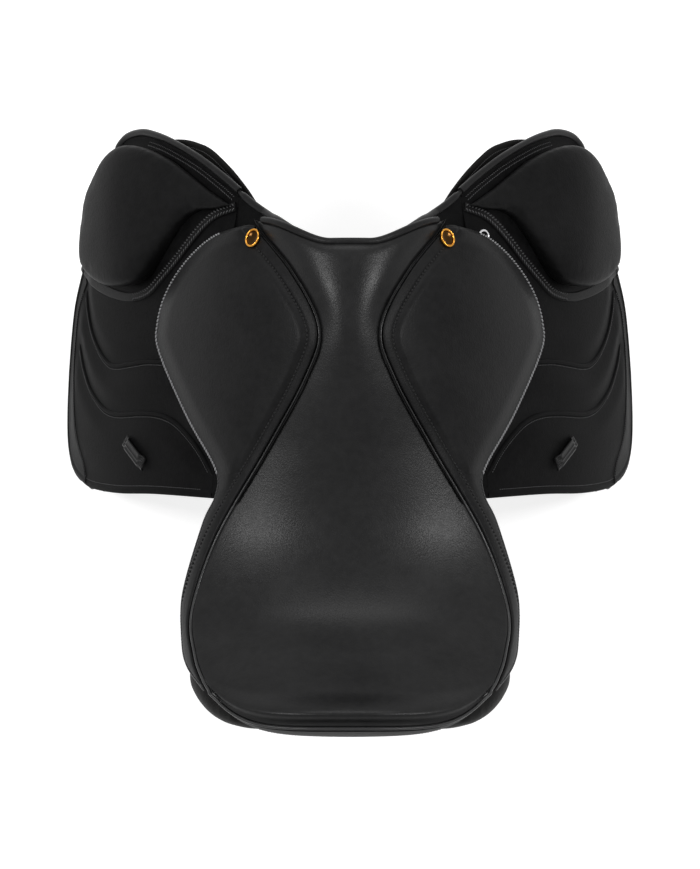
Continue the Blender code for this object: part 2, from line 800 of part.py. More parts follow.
def knee_block():
    """A teardrop pad: rings of its outline drawn in to a spine as they rise."""
    outline = rounded(BLOCK_OUTLINE, 1, 0.3)
    (tip_t, tip_y), (full_t, full_y) = BLOCK_SPINE

    def ring(share, rise):
        loop = []
        for distance, y in outline:
            along = min(max((distance - tip_t) / (full_t - tip_t), 0), 1)
            spine_t = mix(tip_t, full_t, along)
            spine_y = mix(tip_y, full_y, along)
            height = mix(BLOCK_HEIGHTS[0], BLOCK_HEIGHTS[1], ease(along))
            loop.append((mix(spine_t, distance, share), mix(spine_y, y, share), GAP + height * rise))
        return loop

    steps = 6
    loops = [ring(0.98, 0)]
    for step in range(steps + 1):
        angle = math.pi / 2 * step / steps
        loops.append(ring(mix(0.12, 1, math.cos(angle) ** 0.8), mix(0.06, 1, math.sin(angle) ** 0.75)))
    bm = loft(loops)
    bend_to_side(bm)
    return add("knee_block_right", mesh_of(bm, "knee_block_right"), "black_leather")


def girth_pieces():
    """Web anchor, three billets and the guard that keeps their buckles off the flap."""
    anchor_front = BILLET_CENTRES[0] + 0.020
    anchor_back = BILLET_CENTRES[-1] - 0.020
    anchor_end = BILLET_TOP - 3 * GAP
    anchor = on_side(
        "girth_anchor_right",
        [[(0.0905, anchor_back), (0.0905, anchor_front), (anchor_end, anchor_front), (anchor_end, anchor_back)]],
        BILLET_LEVEL, BILLET_THICKNESS, "webbing",
    )
    half = BILLET_WIDTH / 2
    billets = []
    for name, centre in zip(("front", "middle", "rear"), BILLET_CENTRES):
        outline = [
            (BILLET_TOP, centre - half),
            (BILLET_TOP, centre + half),
            (BILLET_END - 0.012, centre + half),
            (BILLET_END, centre + 0.005),
            (BILLET_END, centre - 0.005),
            (BILLET_END - 0.012, centre - half),
        ]
        holes = [
            circle((BILLET_END - 0.030 - BILLET_HOLE_PITCH * i, centre), BILLET_HOLE_RADIUS, 8)
            for i in range(BILLET_HOLES)
        ]
        billet = on_side(f"billet_{name}_right", [outline] + holes, BILLET_LEVEL, BILLET_THICKNESS, "black_leather")
        set_origin(billet, side_place(BILLET_TOP, centre, BILLET_LEVEL))
        billets.append(billet)
    guard_front = BILLET_CENTRES[0] + 0.022
    guard_back = BILLET_CENTRES[-1] - 0.018
    guard = on_side(
        "buckle_guard_right",
        [rounded([(GUARD_TOP, guard_back), (GUARD_TOP, guard_front), (GUARD_END, guard_front), (GUARD_END, guard_back)], 3, 0.2)],
        GUARD_LEVEL, GUARD_THICKNESS, "black_leather",
    )
    return [anchor, *billets, guard]


def tree_point():
    """The wooden point that spreads from the head down each side and carries the stirrup bar."""
    outline = []
    for i in range(7):
        y = mix(0.096, 0.226, i / 6)
        outline.append((side_distance(0.88 * read(WELT, y)[0] + 0.010), y))
    outline += [(0.078, 0.226), (0.088, 0.213), (0.088, 0.110), (0.070, 0.096)]
    return on_side("tree_point_right", [outline], POINT_LEVEL, POINT_THICKNESS, "wood")


def stirrup_bar():
    """A recessed bar: a riveted plate, an arm at its front, and a rail whose rear end is open."""
    distance, y = BAR_PLACE
    half = BAR_LENGTH / 2
    plate_low = POINT_LEVEL + GAP
    plate_high = plate_low + BAR_PLATE_THICKNESS
    rail_low = plate_high + BAR_SLOT
    rail_high = rail_low + BAR_RAIL_THICKNESS
    tongue = rail_low + (BAR_RAIL_THICKNESS - CATCH_THICKNESS - GAP)
    profile = [
        (-half, plate_low),
        (half, plate_low),
        (half, rail_high),
        (-half + 0.010, rail_high),
        (-half + 0.010, tongue),
        (-half, tongue),
        (-half, rail_low),
        (half - BAR_ARM, rail_low),
        (half - BAR_ARM, plate_high),
        (-half, plate_high),
    ]
    rail_mesh = flat_mesh([profile], BAR_RAIL_HEIGHT)
    upright = Matrix(((0, 0, 1, 0), (1, 0, 0, 0), (0, 1, 0, 0), (0, 0, 0, 1)))
    rail_mesh.transform(upright)
    bm = bmesh.new()
    bm.from_mesh(rail_mesh)
    bar = add("stirrup_bar_right", mesh_of(bm, "stirrup_bar_right"), "steel")
    bm = bmesh.new()
    size = (BAR_PLATE_HEIGHT, BAR_LENGTH + 0.006, BAR_PLATE_THICKNESS - 2 * GAP)
    bmesh.ops.create_cube(bm, size=1, matrix=Matrix.Translation((0, 0, (plate_low + plate_high) / 2)) @ Matrix.Diagonal((*size, 1)))
    plate = add("bar_plate", mesh_of(bm, "bar_plate"), None, CUTTERS)
    combine(bar, plate, "UNION")
    pin_place = Matrix.Translation((0, -half + 0.005, rail_low))
    combine(bar, cylinder("pin_bore", CATCH_PIN_RADIUS + GAP, 0.012, pin_place), "DIFFERENCE")
    bar.data.materials.clear()
    bar.data.materials.append(finish("steel"))
    frame = side_frame(distance, y, 0)
    bar.matrix_world = frame

    lever = rounded([(-0.0036, 0.004), (0.0036, 0.004), (0.0030, -CATCH_LENGTH + 0.004), (-0.0030, -CATCH_LENGTH + 0.004)], 3, 0.35)
    bm = bmesh.new()
    bm.from_mesh(flat_mesh([lever], CATCH_THICKNESS))
    catch = add("bar_catch_right", mesh_of(bm, "bar_catch_right"), "steel")
    catch.data.transform(Matrix.Translation((0, 0, tongue + GAP + CATCH_THICKNESS / 2)))
    reach = tongue + GAP - rail_low
    pin = cylinder("catch_pin", CATCH_PIN_RADIUS, reach + 0.0006, Matrix.Translation((0, 0, tongue + GAP + 0.0003 - reach / 2)))
    combine(catch, pin, "UNION")
    catch.data.materials.clear()
    catch.data.materials.append(finish("steel"))
    catch.matrix_world = frame @ Matrix.Translation((0, -half + 0.005, 0))
    return bar, catch


def keeper():
    """A strap stitched at both ends over the flap, standing off it in the middle."""
    half = KEEPER_LENGTH / 2
    rise = KEEPER_RISE
    thick = KEEPER_THICKNESS
    profile = [
        (-half, 0.0),
        (-half + 0.006, 0.0),
        (-half + 0.010, rise),
        (half - 0.010, rise),
        (half - 0.006, 0.0),
        (half, 0.0),
        (half, thick),
        (half - 0.005, thick),
        (half - 0.009, rise + thick),
        (-half + 0.009, rise + thick),
        (-half + 0.005, thick),
        (-half, thick),
    ]
    mesh = flat_mesh([profile], KEEPER_WIDTH)
    mesh.transform(Matrix.Rotation(math.pi / 2, 4, "X"))
    bm = bmesh.new()
    bm.from_mesh(mesh)
    piece = add("keeper_right", mesh_of(bm, "keeper_right"), "black_leather")
    piece.matrix_world = side_frame(*KEEPER_PLACE, 2 * GAP, KEEPER_TURN)
    return piece


def dee_pieces():
    """The dee lies flat on the flap; its straight bar turns in a folded chape."""
    centre = CHAPE_THICKNESS + GAP + DEE_WIRE_RADIUS
    frame = side_frame(*DEE_PLACE, GAP, DEE_TURN)
    half = DEE_WIDTH / 2 - DEE_WIRE_RADIUS
    bow = [Vector((half * math.sin(a), half * math.cos(a), 0)) for a in [math.pi * i / 10 for i in range(11)]]
    reach = DEE_REACH - half
    route = [Vector((0, 0, 0)), Vector((0, half, 0))] + [Vector((reach, 0, 0)) + p for p in bow] + [Vector((0, -half, 0))]
    dee = tube("dee", route, DEE_WIRE_RADIUS, "steel", cyclic=True)
    dee.matrix_world = frame @ Matrix.Translation((0, 0, centre))

    inner = DEE_WIRE_RADIUS + GAP
    outer = inner + CHAPE_THICKNESS
    profile = [(outer * math.cos(a), centre + outer * math.sin(a)) for a in [math.radians(-90 + 22.5 * i) for i in range(9)]]
    profile += [(-CHAPE_LENGTH, 2 * CHAPE_THICKNESS + GAP), (-CHAPE_LENGTH, 0.0)]
    mesh = flat_mesh([profile, circle((0, centre), inner, 12)], DEE_WIDTH - 4 * DEE_WIRE_RADIUS - 2 * GAP)
    mesh.transform(Matrix.Rotation(math.pi / 2, 4, "X"))
    bm = bmesh.new()
    bm.from_mesh(mesh)
    chape = add("dee_chape", mesh_of(bm, "dee_chape"), "black_leather")
    chape.matrix_world = frame
    return dee, chape


def saddle_nail(frame):
    """A dished oval head on a round shank, turned and then drawn to an oval."""
    rim = NAIL_LENGTH_RADIUS
    profile = [
        (0.0, 0.0012),
        (rim * 0.55, 0.0010),
        (rim * 0.80, NAIL_HEIGHT * 0.75),
        (rim * 0.90, NAIL_HEIGHT),
        (rim * 0.97, NAIL_HEIGHT * 0.85),
        (rim, NAIL_HEIGHT * 0.45),
        (rim * 0.94, 0.0),
        (NAIL_SHANK_RADIUS * 1.2, 0.0),
        (NAIL_SHANK_RADIUS, -0.001),
        (NAIL_SHANK_RADIUS, -NAIL_SHANK),
        (0.0, -NAIL_SHANK - 0.001),
    ]
    bm = bmesh.new()
    points = [bm.verts.new((x, 0, z)) for x, z in profile]
    for first, second in zip(points, points[1:]):
        bm.edges.new((first, second))
    bmesh.ops.spin(
        bm, geom=bm.verts[:] + bm.edges[:], cent=(0, 0, 0), axis=(0, 0, 1),
        angle=2 * math.pi, steps=20, use_merge=True,
    )
    for vertex in bm.verts:
        if vertex.co.z >= 0:
            vertex.co.x *= NAIL_WIDTH_RADIUS / NAIL_LENGTH_RADIUS
    nail = add("saddle_nail_right", mesh_of(bm, "saddle_nail_right"), "gold")
    nail.matrix_world = frame
    return nail


# Panels

def panel():
    """A long cushion beside the gullet channel, under the tree and inside the sweat flap."""
    around = 16
    ends = (0.0, 0.012, 0.04, 0.09)
    places = list(ends) + [mix(0.14, 0.86, i / 11) for i in range(12)] + [1 - e for e in reversed(ends)]

    def roof(x, y):
        """The lowest of what lies over the panel: the tree, and outside it the side or the skirt."""
        edge = read(WELT, y)[0]
        under_seat = seat_underside(min(x, 0.95 * edge), y, PLATE_DEPTH + PLATE_THICKNESS + RUNNING_GAP)
        slope = math.cos(SIDE_TOP_SLOPE + side_distance(x) / SIDE_RADIUS)
        under_side = side_height(x) + PANEL_LEVEL / slope
        if y > FLAP_REAR:
            return min(under_seat, under_side) if x < edge else under_side
        under_skirt = skirt_height(max(x, edge), y) - SKIRT_THICKNESS
        return mix(under_seat, min(under_skirt, under_side + 0.08), ease((x / edge - 0.93) / 0.1))

    loops = []
    for place in places:
        y, channel, outer, low, slope = through(PANEL_STATIONS, place)
        fullness = min(1, math.sqrt(max(1 - (2 * place - 1) ** 12, 0)) + 0.12)
        loop = []
        for i in range(around):
            angle = 2 * math.pi * (i + 0.5) / around
            share = 0.5 + 0.5 * math.copysign(abs(math.cos(angle)) ** 0.7, math.cos(angle))
            x = mix(channel, outer, share)
            top = roof(x, y)
            bottom = min(low - slope * (x - channel), top - 0.010)
            level = 0.5 + 0.5 * fullness * math.copysign(abs(math.sin(angle)) ** 0.6, math.sin(angle))
            loop.append(Vector((x, y, mix(bottom, top, level))))
        loops.append(loop)
    return add("panel_right", mesh_of(loft(loops), "panel_right"), "lining_leather")


def build():
    for old in list(bpy.data.objects):
        bpy.data.objects.remove(old)
    bpy.context.scene.collection.children.link(COLLECTION)
    bpy.context.scene.collection.children.link(CUTTERS)

    seat_stack()
    seat_trim()
    base, flex, lobe = skirt_pieces()
    flap, flap_root = flap_pieces()
    point = tree_point()
    bar, catch = stirrup_bar()
    block = knee_block()
    strap = keeper()
    sweat = on_side("sweat_flap_right", [rounded(SWEAT_OUTLINE, 2, 0.3)], SWEAT_LEVEL, SWEAT_THICKNESS, "lining_leather")
    girth = girth_pieces()
    cushion = panel()

    nail_x, nail_y = NAIL_PLACE
    seat_of_nail = skirt_skin(nail_x, nail_y, SKIRT_THICKNESS / 2 + GAP)
    outward = (skirt_skin(nail_x, nail_y, 0.01) - skirt_skin(nail_x, nail_y, 0)).normalized()
    nail_frame = Matrix.Translation(seat_of_nail) @ outward.to_track_quat("Z", "X").to_matrix().to_4x4()
    nail = saddle_nail(nail_frame)
    for carrier in (base, point):
        combine(carrier, cylinder("nail_bore", NAIL_SHANK_RADIUS + GAP, 0.08, nail_frame), "DIFFERENCE")

    def skirt_top(x, y):
        return skirt_skin(x, y, SKIRT_THICKNESS / 2).z

    set_origin(flex, fold_axis(SKIRT_FOLD, skirt_top)[0])
    set_origin(lobe, fold_axis(SKIRT_FOLD, skirt_top, FLEX_WIDTH)[0])
    set_origin(flap, fold_axis(FLAP_FOLD, lambda x, y: side_height(x))[0])

    right = [base, flex, lobe, flap, flap_root, point, bar, catch, block, strap, sweat, *girth, cushion, nail]
    left = {piece.name: mirrored(piece, piece.name.replace("_right", "_left")) for piece in right}
    dee, chape = dee_pieces()
    carry(flex, lobe)
    carry(left[flex.name], left[lobe.name])
    carry(flap, block, strap, chape, dee)
    carry(left[flap.name], left[block.name], left[strap.name])


build()
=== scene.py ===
# %% [markdown]
# # A black jumping saddle
#
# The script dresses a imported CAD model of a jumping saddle. The solids give every size and every
# joint. Each leather piece is modelled again here with its rolled edges, seams, padding and
# stitches, and it rides on the body of the solid that it stands for. The metal and wooden solids
# keep their own shape and get a better finish.

# %% The frame
import math

import bpy
import numpy as np
from mathutils import Matrix, Vector


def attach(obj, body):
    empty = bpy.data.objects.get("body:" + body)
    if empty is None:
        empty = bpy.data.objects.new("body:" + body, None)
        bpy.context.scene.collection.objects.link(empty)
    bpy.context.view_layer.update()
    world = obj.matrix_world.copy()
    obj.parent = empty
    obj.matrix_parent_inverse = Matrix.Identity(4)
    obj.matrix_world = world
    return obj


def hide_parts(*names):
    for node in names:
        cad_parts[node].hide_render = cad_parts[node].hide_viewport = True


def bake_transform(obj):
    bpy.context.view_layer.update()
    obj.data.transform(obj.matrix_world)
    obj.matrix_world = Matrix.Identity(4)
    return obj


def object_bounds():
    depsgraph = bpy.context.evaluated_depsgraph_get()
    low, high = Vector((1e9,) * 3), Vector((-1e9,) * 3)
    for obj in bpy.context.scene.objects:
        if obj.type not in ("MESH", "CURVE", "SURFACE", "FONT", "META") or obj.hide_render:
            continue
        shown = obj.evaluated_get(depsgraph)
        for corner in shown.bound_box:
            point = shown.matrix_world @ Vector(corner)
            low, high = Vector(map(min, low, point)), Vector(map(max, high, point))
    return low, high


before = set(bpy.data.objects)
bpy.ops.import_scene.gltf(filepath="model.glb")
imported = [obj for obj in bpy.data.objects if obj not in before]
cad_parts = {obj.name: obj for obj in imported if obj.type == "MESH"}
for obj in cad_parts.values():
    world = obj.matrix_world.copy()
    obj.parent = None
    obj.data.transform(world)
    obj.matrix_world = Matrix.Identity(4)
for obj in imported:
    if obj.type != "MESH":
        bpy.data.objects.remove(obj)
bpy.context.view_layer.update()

# %% [markdown]
# ## The numbers of the solids
#
# The solids lie on three shared shapes: the seat, the skirt that falls from it, and the side that
# flaps and straps lie on. A piece fits its solid because both come from the same numbers, so the
# part's own numbers are repeated here, in metres. Y runs forward, X to the rider's right, Z up.

# %% Sizes shared with the solids
GAP = 0.0003
SIDE_TOP_X = 0.045
SIDE_TOP_Z = 0.118
SIDE_TOP_SLOPE = math.radians(36)
SIDE_LENGTH = 0.412
SIDE_RADIUS = SIDE_LENGTH / math.radians(74 - 36)
FLAP_THICKNESS = 0.0040
SKIRT_THICKNESS = 0.0050
COVER_THICKNESS = 0.0030
FOAM_THICKNESS = 0.0160
WEB_THICKNESS = 0.0017
SEAT_ROWS = [
    (0.205, 0.158, 0.084, 0.2315, 0.106),
    (0.166, 0.159, 0.050, 0.186, 0.133),
    (0.128, 0.154, 0.0256, 0.134, 0.146),
    (0.085, 0.142, 0.037, 0.092, 0.134),
    (0.022, 0.121, 0.072, 0.030, 0.107),
    (-0.045, 0.112, 0.1156, -0.044, 0.087),
    (-0.108, 0.126, 0.1365, -0.107, 0.095),
    (-0.152, 0.157, 0.133, -0.146, 0.121),
    (-0.187, 0.188, 0.125, -0.169, 0.139),
    (-0.211, 0.196, 0.1185, -0.180, 0.147),
]
WELT_RADIUS = 0.0022
SKIRT_EDGE = [
    (0.2315, 0.0934, 0.006), (0.2276, 0.1221, 0.0065), (0.2111, 0.1475, 0.002),
    (0.1863, 0.1668, 0.0), (0.1590, 0.1757, 0.0), (0.1320, 0.1740, 0.0), (0.0690, 0.1468, 0.0),
    (0.0182, 0.1195, 0.004), (-0.005, 0.1190, 0.009), (-0.030, 0.1306, 0.015),
    (-0.090, 0.1475, 0.036), (-0.128, 0.1480, 0.050), (-0.156, 0.1430, 0.062),
    (-0.182, 0.1240, 0.078),
]
SKIRT_FOLD = ((0.228, 0.0845), (0.008, 0.1100))
FLAP_FOLD = ((0.268, 0.0989), (-0.006, 0.1240))
LOBE_REAR = 0.012
PATCH_REAR, PATCH_FULL, PATCH_OUT, FLEX_WIDTH = 0.200, 0.210, 0.0966, 0.0050
SKIRT_OVER_FLAP = 0.0032
SKIRT_ARCH = 4 * 0.085 * 1.35
CREST_HEIGHT = 0.010
CREST_START, CREST_RISE, CREST_TOP, CREST_FALL = 0.868, 0.078, 0.947, 0.042

# %% [markdown]
# ## Curves and shared shapes
#
# A modeller would bend a grid over a form by hand. Here numpy does it for all the vertices of a
# grid at once, which is quick and gives the same shape at every run.

# %% Curves
def ease(value):
    """0 to 1 with a soft start and a soft end."""
    value = np.clip(value, 0, 1)
    return value * value * (3 - 2 * value)


def mix(first, second, share):
    return first + (second - first) * share


def through(points, place):
    """Points at `place` (0 to 1) on a smooth curve through `points`."""
    points = np.asarray(points, float)
    last = len(points) - 1
    spot = np.clip(np.asarray(place, float), 0, 1) * last
    index = np.minimum(spot.astype(int), last - 1)
    t = (spot - index)[..., None]
    a, b, c, d = (points[np.clip(index + step, 0, last)] for step in (-1, 0, 1, 2))
    return b + 0.5 * t * (c - a + t * (2 * a - 5 * b + 4 * c - d + t * (3 * (b - c) + d - a)))


# %% Lines
def lengths(line):
    """How far along the line each of its points lies."""
    steps = np.linalg.norm(np.diff(line, axis=0), axis=1)
    return np.concatenate([[0], np.cumsum(steps)])


def read_off(place, marks, values):
    """Rows of `values` that stand at `marks`, read off at `place`."""
    return np.stack([np.interp(place, marks, column) for column in values.T], axis=-1)


def spaced(points, count, smooth=True):
    """The same line, through `count` points at equal distances."""
    points = np.asarray(points, float)
    if smooth:
        points = through(points, np.linspace(0, 1, 12 * len(points)))
    along = lengths(points)
    return read_off(np.linspace(0, along[-1], count), along, points)


def away(first, second, line):
    """How far the flat points (first, second) lie from a flat line."""
    start, step = line[:-1], np.diff(line, axis=0)
    best = np.full(np.shape(first), 1e9)
    for (a, b), (da, db) in zip(start, step):
        share = np.clip(((first - a) * da + (second - b) * db) / max(da * da + db * db, 1e-12), 0, 1)
        best = np.minimum(best, np.hypot(first - a - share * da, second - b - share * db))
    return best


def unit(vectors):
    return vectors / np.maximum(np.linalg.norm(vectors, axis=-1, keepdims=True), 1e-12)


def upward(height):
    return height[..., None] * (0, 0, 1)


def to_left(line):
    """The direction to the left of a flat line, at each of its points."""
    ahead = unit(np.gradient(line, axis=0))
    return np.stack([-ahead[:, 1], ahead[:, 0]], axis=1)


def offset_line(line, by, count):
    """A flat line moved to its left by a distance."""
    line = spaced(line, count, smooth=False)
    return line + to_left(line) * by


# %% The saddle's side
def side(distance, y, out=0.0):
    """Points on the saddle's side, `distance` down the leather and `out` from the flap's face."""
    slope = SIDE_TOP_SLOPE + distance / SIDE_RADIUS
    x = SIDE_TOP_X + SIDE_RADIUS * (np.sin(slope) - math.sin(SIDE_TOP_SLOPE)) + out * np.sin(slope)
    z = SIDE_TOP_Z - SIDE_RADIUS * (math.cos(SIDE_TOP_SLOPE) - np.cos(slope)) + out * np.cos(slope)
    return np.stack(np.broadcast_arrays(x, y, z), axis=-1)


def side_out(distance):
    slope = SIDE_TOP_SLOPE + distance / SIDE_RADIUS
    return np.stack([np.sin(slope), 0 * slope, np.cos(slope)], axis=-1)


def side_distance(x):
    slope = np.arcsin(math.sin(SIDE_TOP_SLOPE) + (x - SIDE_TOP_X) / SIDE_RADIUS)
    return SIDE_RADIUS * (slope - SIDE_TOP_SLOPE)


def side_height(x):
    return side(side_distance(x), 0.0)[..., 2]


# %% The seat
def seat_point(across, back):
    """Points on top of the seat: `across` -1 to 1, `back` 0 at the pommel to 1 at the rim."""
    row = through(SEAT_ROWS, back)
    reach = np.minimum(np.abs(across), 1)
    sweep = mix(ease((reach - 0.21) / 0.88), reach ** 5.0, ease((back - 0.1) / 0.8))
    return np.stack([
        row[..., 2] * across,
        mix(row[..., 0], row[..., 3], sweep),
        mix(row[..., 1], row[..., 4], reach ** 2.2),
    ], axis=-1)


def along_seat(across, back, step=0.01):
    """The direction from pommel to rim."""
    return seat_point(across, np.minimum(back + step, 1)) - seat_point(across, np.maximum(back - step, 0))


def across_seat(across, back, step=0.01):
    """The direction from left to right."""
    return seat_point(np.minimum(across + step, 1), back) - seat_point(np.maximum(across - step, -1), back)


def seat_skin(across, back, depth=0.0):
    """Points `depth` under the seat's top face."""
    across, back, depth = (np.asarray(v, float) for v in np.broadcast_arrays(across, back, depth))
    out = unit(np.cross(along_seat(across, back), across_seat(across, back)))
    return seat_point(across, back) - out * depth[..., None]


def crest(across, back, depth):
    """The lift of the padded crest along the cantle, which fades towards the webs."""
    rise = ease((back - CREST_START) / CREST_RISE)
    fall = 1 - ease((back - CREST_TOP) / CREST_FALL)
    fade = np.maximum(1 - depth / (COVER_THICKNESS + FOAM_THICKNESS), 0)
    return CREST_HEIGHT * rise * fall * (1 - across ** 4) * fade


def edge_out(across, back, along_row):
    """The direction out of the seat, square to the edge of a row or of a side."""
    if along_row:
        tangent, inside = across_seat(across, back), seat_point(across, 0.5 + 0 * across)
    else:
        tangent, inside = along_seat(across, back), seat_point(0 * across, back)
    normal = unit(seat_skin(across, back) - seat_skin(across, back, 0.01))
    out = unit(np.cross(tangent, normal))
    inward = inside - seat_point(across, back)
    return out * -np.sign(np.sum(out * inward, axis=-1, keepdims=True))


welt_points = seat_point(np.ones(91), np.linspace(0, 1, 91))
WELT_Y, WELT_X, WELT_Z = welt_points[::-1, 1], welt_points[::-1, 0], welt_points[::-1, 2]
RIM = through(SKIRT_EDGE, np.linspace(0, 1, 91))


# %% The skirt
def welt_x(y):
    return np.interp(y, WELT_Y, WELT_X)


def skirt_edge(y):
    x = np.interp(y, RIM[::-1, 0], RIM[::-1, 1])
    above = np.interp(y, RIM[::-1, 0], RIM[::-1, 2])
    return x, side_height(x) + SKIRT_OVER_FLAP + SKIRT_THICKNESS / 2 + above


def skirt_height(x, y):
    start_x, start_z = welt_x(y), np.interp(y, WELT_Y, WELT_Z)
    end_x, end_z = skirt_edge(y)
    share = (x - start_x) / (end_x - start_x)
    chord = np.hypot(end_x - start_x, end_z - start_z)
    return mix(start_z, end_z, share) + SKIRT_ARCH * chord * share * (1 - share)


def skirt_out(x, y):
    step = 0.001
    slope_x = (skirt_height(x + step, y) - skirt_height(x - step, y)) / (2 * step)
    slope_y = (skirt_height(x, y + step) - skirt_height(x, y - step)) / (2 * step)
    return unit(np.stack([-slope_x, -slope_y, np.ones_like(slope_x)], axis=-1))


def skirt_skin(x, y, out):
    """Points `out` from the middle of the skirt's thickness."""
    x, y, out = (np.asarray(v, float) for v in np.broadcast_arrays(x, y, out))
    return np.stack([x, y, skirt_height(x, y)], axis=-1) + skirt_out(x, y) * out[..., None]


def fold_x(fold, y):
    (front_y, front_x), (rear_y, rear_x) = fold
    return mix(front_x, rear_x, (front_y - y) / (front_y - rear_y))


# %% [markdown]
# ## Modelling helpers
#
# A leather piece is a leaf: a grid primitive that Solidify gives a second face, and whose vertices
# are then laid on the shared shape, closer together where an edge rolls over or a seam runs. Roped
# edges and welts are curves with a round bevel. A row of stitches is one small grain, modelled
# once and repeated along a line.

# %% Work on one object
def only(piece):
    bpy.ops.object.select_all(action="DESELECT")
    piece.select_set(True)
    bpy.context.view_layer.objects.active = piece
    return piece


def add(primitive, name, **settings):
    """A new primitive, the only object selected."""
    bpy.ops.object.select_all(action="DESELECT")
    primitive(**settings)
    piece = bpy.context.object
    piece.name = piece.data.name = name
    return piece


def link(name, data):
    """A new object with the given data, in the scene."""
    piece = bpy.data.objects.new(name, data)
    bpy.context.scene.collection.objects.link(piece)
    return piece


def edit(piece, *steps):
    """Select all of a mesh in Edit Mode and run operators on it, each with its settings."""
    only(piece)
    bpy.ops.object.mode_set(mode="EDIT")
    bpy.ops.mesh.select_all(action="SELECT")
    for operator, settings in steps:
        operator(**settings)
    bpy.ops.object.mode_set(mode="OBJECT")
    return piece


# %% Points and modifiers
def coordinates(piece):
    flat = np.empty(len(piece.data.vertices) * 3)
    piece.data.vertices.foreach_get("co", flat)
    return flat.reshape(-1, 3)


def put(piece, places):
    piece.data.vertices.foreach_set("co", np.asarray(places, np.float64).ravel())
    piece.data.update()


def modify(piece, kind, **settings):
    """Add a modifier, set it and apply it at once."""
    only(piece)
    modifier = piece.modifiers.new(kind.lower(), kind)
    for key, value in settings.items():
        setattr(modifier, key, value)
    bpy.ops.object.modifier_apply(modifier=modifier.name)
    return piece


def tidy(piece, merge=0.000004, angle=40):
    """Merge doubles, point the faces out and shade smooth up to an angle."""
    edit(
        piece, (bpy.ops.mesh.remove_doubles, {"threshold": merge}),
        (bpy.ops.mesh.dissolve_degenerate, {"threshold": merge}),
        (bpy.ops.mesh.normals_make_consistent, {"inside": False}),
    )
    bpy.ops.object.shade_smooth_by_angle(angle=math.radians(angle))
    return piece


# %% A leaf of leather
def steps_at(places, steps):
    """The step for each place, where places run from -1 to 1 over the width of a grid."""
    return steps[np.rint((places + 1) / 2 * (len(steps) - 1)).astype(int)]


def leaf(name, columns, rows, place):
    """A closed sheet: place(u, v, level) lays each vertex, level 0 inside and 1 outside."""
    columns, rows = np.asarray(columns, float), np.asarray(rows, float)
    count = {"x_subdivisions": len(columns) - 1, "y_subdivisions": len(rows) - 1}
    piece = add(bpy.ops.mesh.primitive_grid_add, name, size=2, **count)
    modify(piece, "SOLIDIFY", thickness=1, offset=1)
    flat = coordinates(piece)
    level = np.rint(flat[:, 2] - flat[:, 2].min())
    put(piece, place(steps_at(flat[:, 0], columns), steps_at(flat[:, 1], rows), level))
    return tidy(piece)


def joined(*parts):
    """All the steps of several rows, in order."""
    return np.unique(np.concatenate(parts))


def dense(start, end, count, near=(), room=0.01, extra=6):
    """Steps from start to end, with more of them near some places."""
    places = list(np.linspace(start, end, count))
    for spot in near:
        places += [spot + room * k / extra for k in range(-extra, extra + 1)]
    places = np.unique(np.round([p for p in places if start <= p <= end], 6))
    keep = np.concatenate([[True], np.diff(places) > abs(end - start) * 1e-4])
    keep[-1] = True
    return places[keep]


def roll(distance, radius):
    """The share of the thickness left at a distance from a rounded edge."""
    return np.sqrt(np.clip(1 - (1 - np.clip(distance / radius, 0, 1)) ** 2, 0, 1))


# %% A roped edge
def rope(name, line, radius, closed=False, sides=3):
    """A round cord along a line of points."""
    curve = bpy.data.curves.new(name, "CURVE")
    curve.dimensions = "3D"
    curve.bevel_depth = 1.0
    curve.bevel_resolution = sides
    curve.use_fill_caps = not closed
    spline = curve.splines.new("POLY")
    spline.use_cyclic_u = closed
    spline.points.add(len(line) - 1)
    radii = np.broadcast_to(radius, len(line))
    for point, place, thick in zip(spline.points, line, radii):
        point.co = (*place, 1)
        point.radius = float(thick)
    piece = link(name, curve)
    only(piece)
    bpy.ops.object.convert(target="MESH")
    piece = bpy.context.object
    piece.data.name = name
    return tidy(piece, angle=60)


# %% A row of stitches
grain = add(bpy.ops.mesh.primitive_uv_sphere_add, "grain", segments=6, ring_count=4, radius=0.5)
quarter_turn = {"value": math.pi / 2, "orient_axis": "Y", "center_override": (0, 0, 0)}
edit(grain, (bpy.ops.transform.rotate, quarter_turn))
GRAIN = coordinates(grain)
GRAIN_FACES = [list(face.vertices) for face in grain.data.polygons]
bpy.data.objects.remove(grain)


def stitches(name, line, out, pitch=0.0026, length=0.0021, width=0.0008, slant=0.0):
    """Thread grains along a line that lies on a surface whose outward direction is `out`."""
    line, out = np.asarray(line, float), np.asarray(out, float)
    along = lengths(line)
    places = np.arange(pitch * 0.7, along[-1] - pitch * 0.5, pitch)
    before, after = (read_off(places + move, along, line) for move in (-pitch * 0.3, pitch * 0.3))
    ahead = unit(after - before)
    up = unit(read_off(places, along, out))
    up = unit(up - ahead * np.sum(up * ahead, axis=1, keepdims=True))
    beside = np.cross(up, ahead)
    turn = math.radians(slant)
    grains = (
        read_off(places, along, line)[:, None]
        + GRAIN[None, :, :1] * length * (ahead * math.cos(turn) + beside * math.sin(turn))[:, None]
        + GRAIN[None, :, 1:2] * width * (beside * math.cos(turn) - ahead * math.sin(turn))[:, None]
        + GRAIN[None, :, 2:] * width * up[:, None]
    )
    faces = [[index + k * len(GRAIN) for index in face] for k in range(len(places)) for face in GRAIN_FACES]
    mesh = bpy.data.meshes.new(name)
    mesh.from_pydata(grains.reshape(-1, 3).tolist(), [], faces)
    return tidy(link(name, mesh), merge=0.0000001, angle=80)
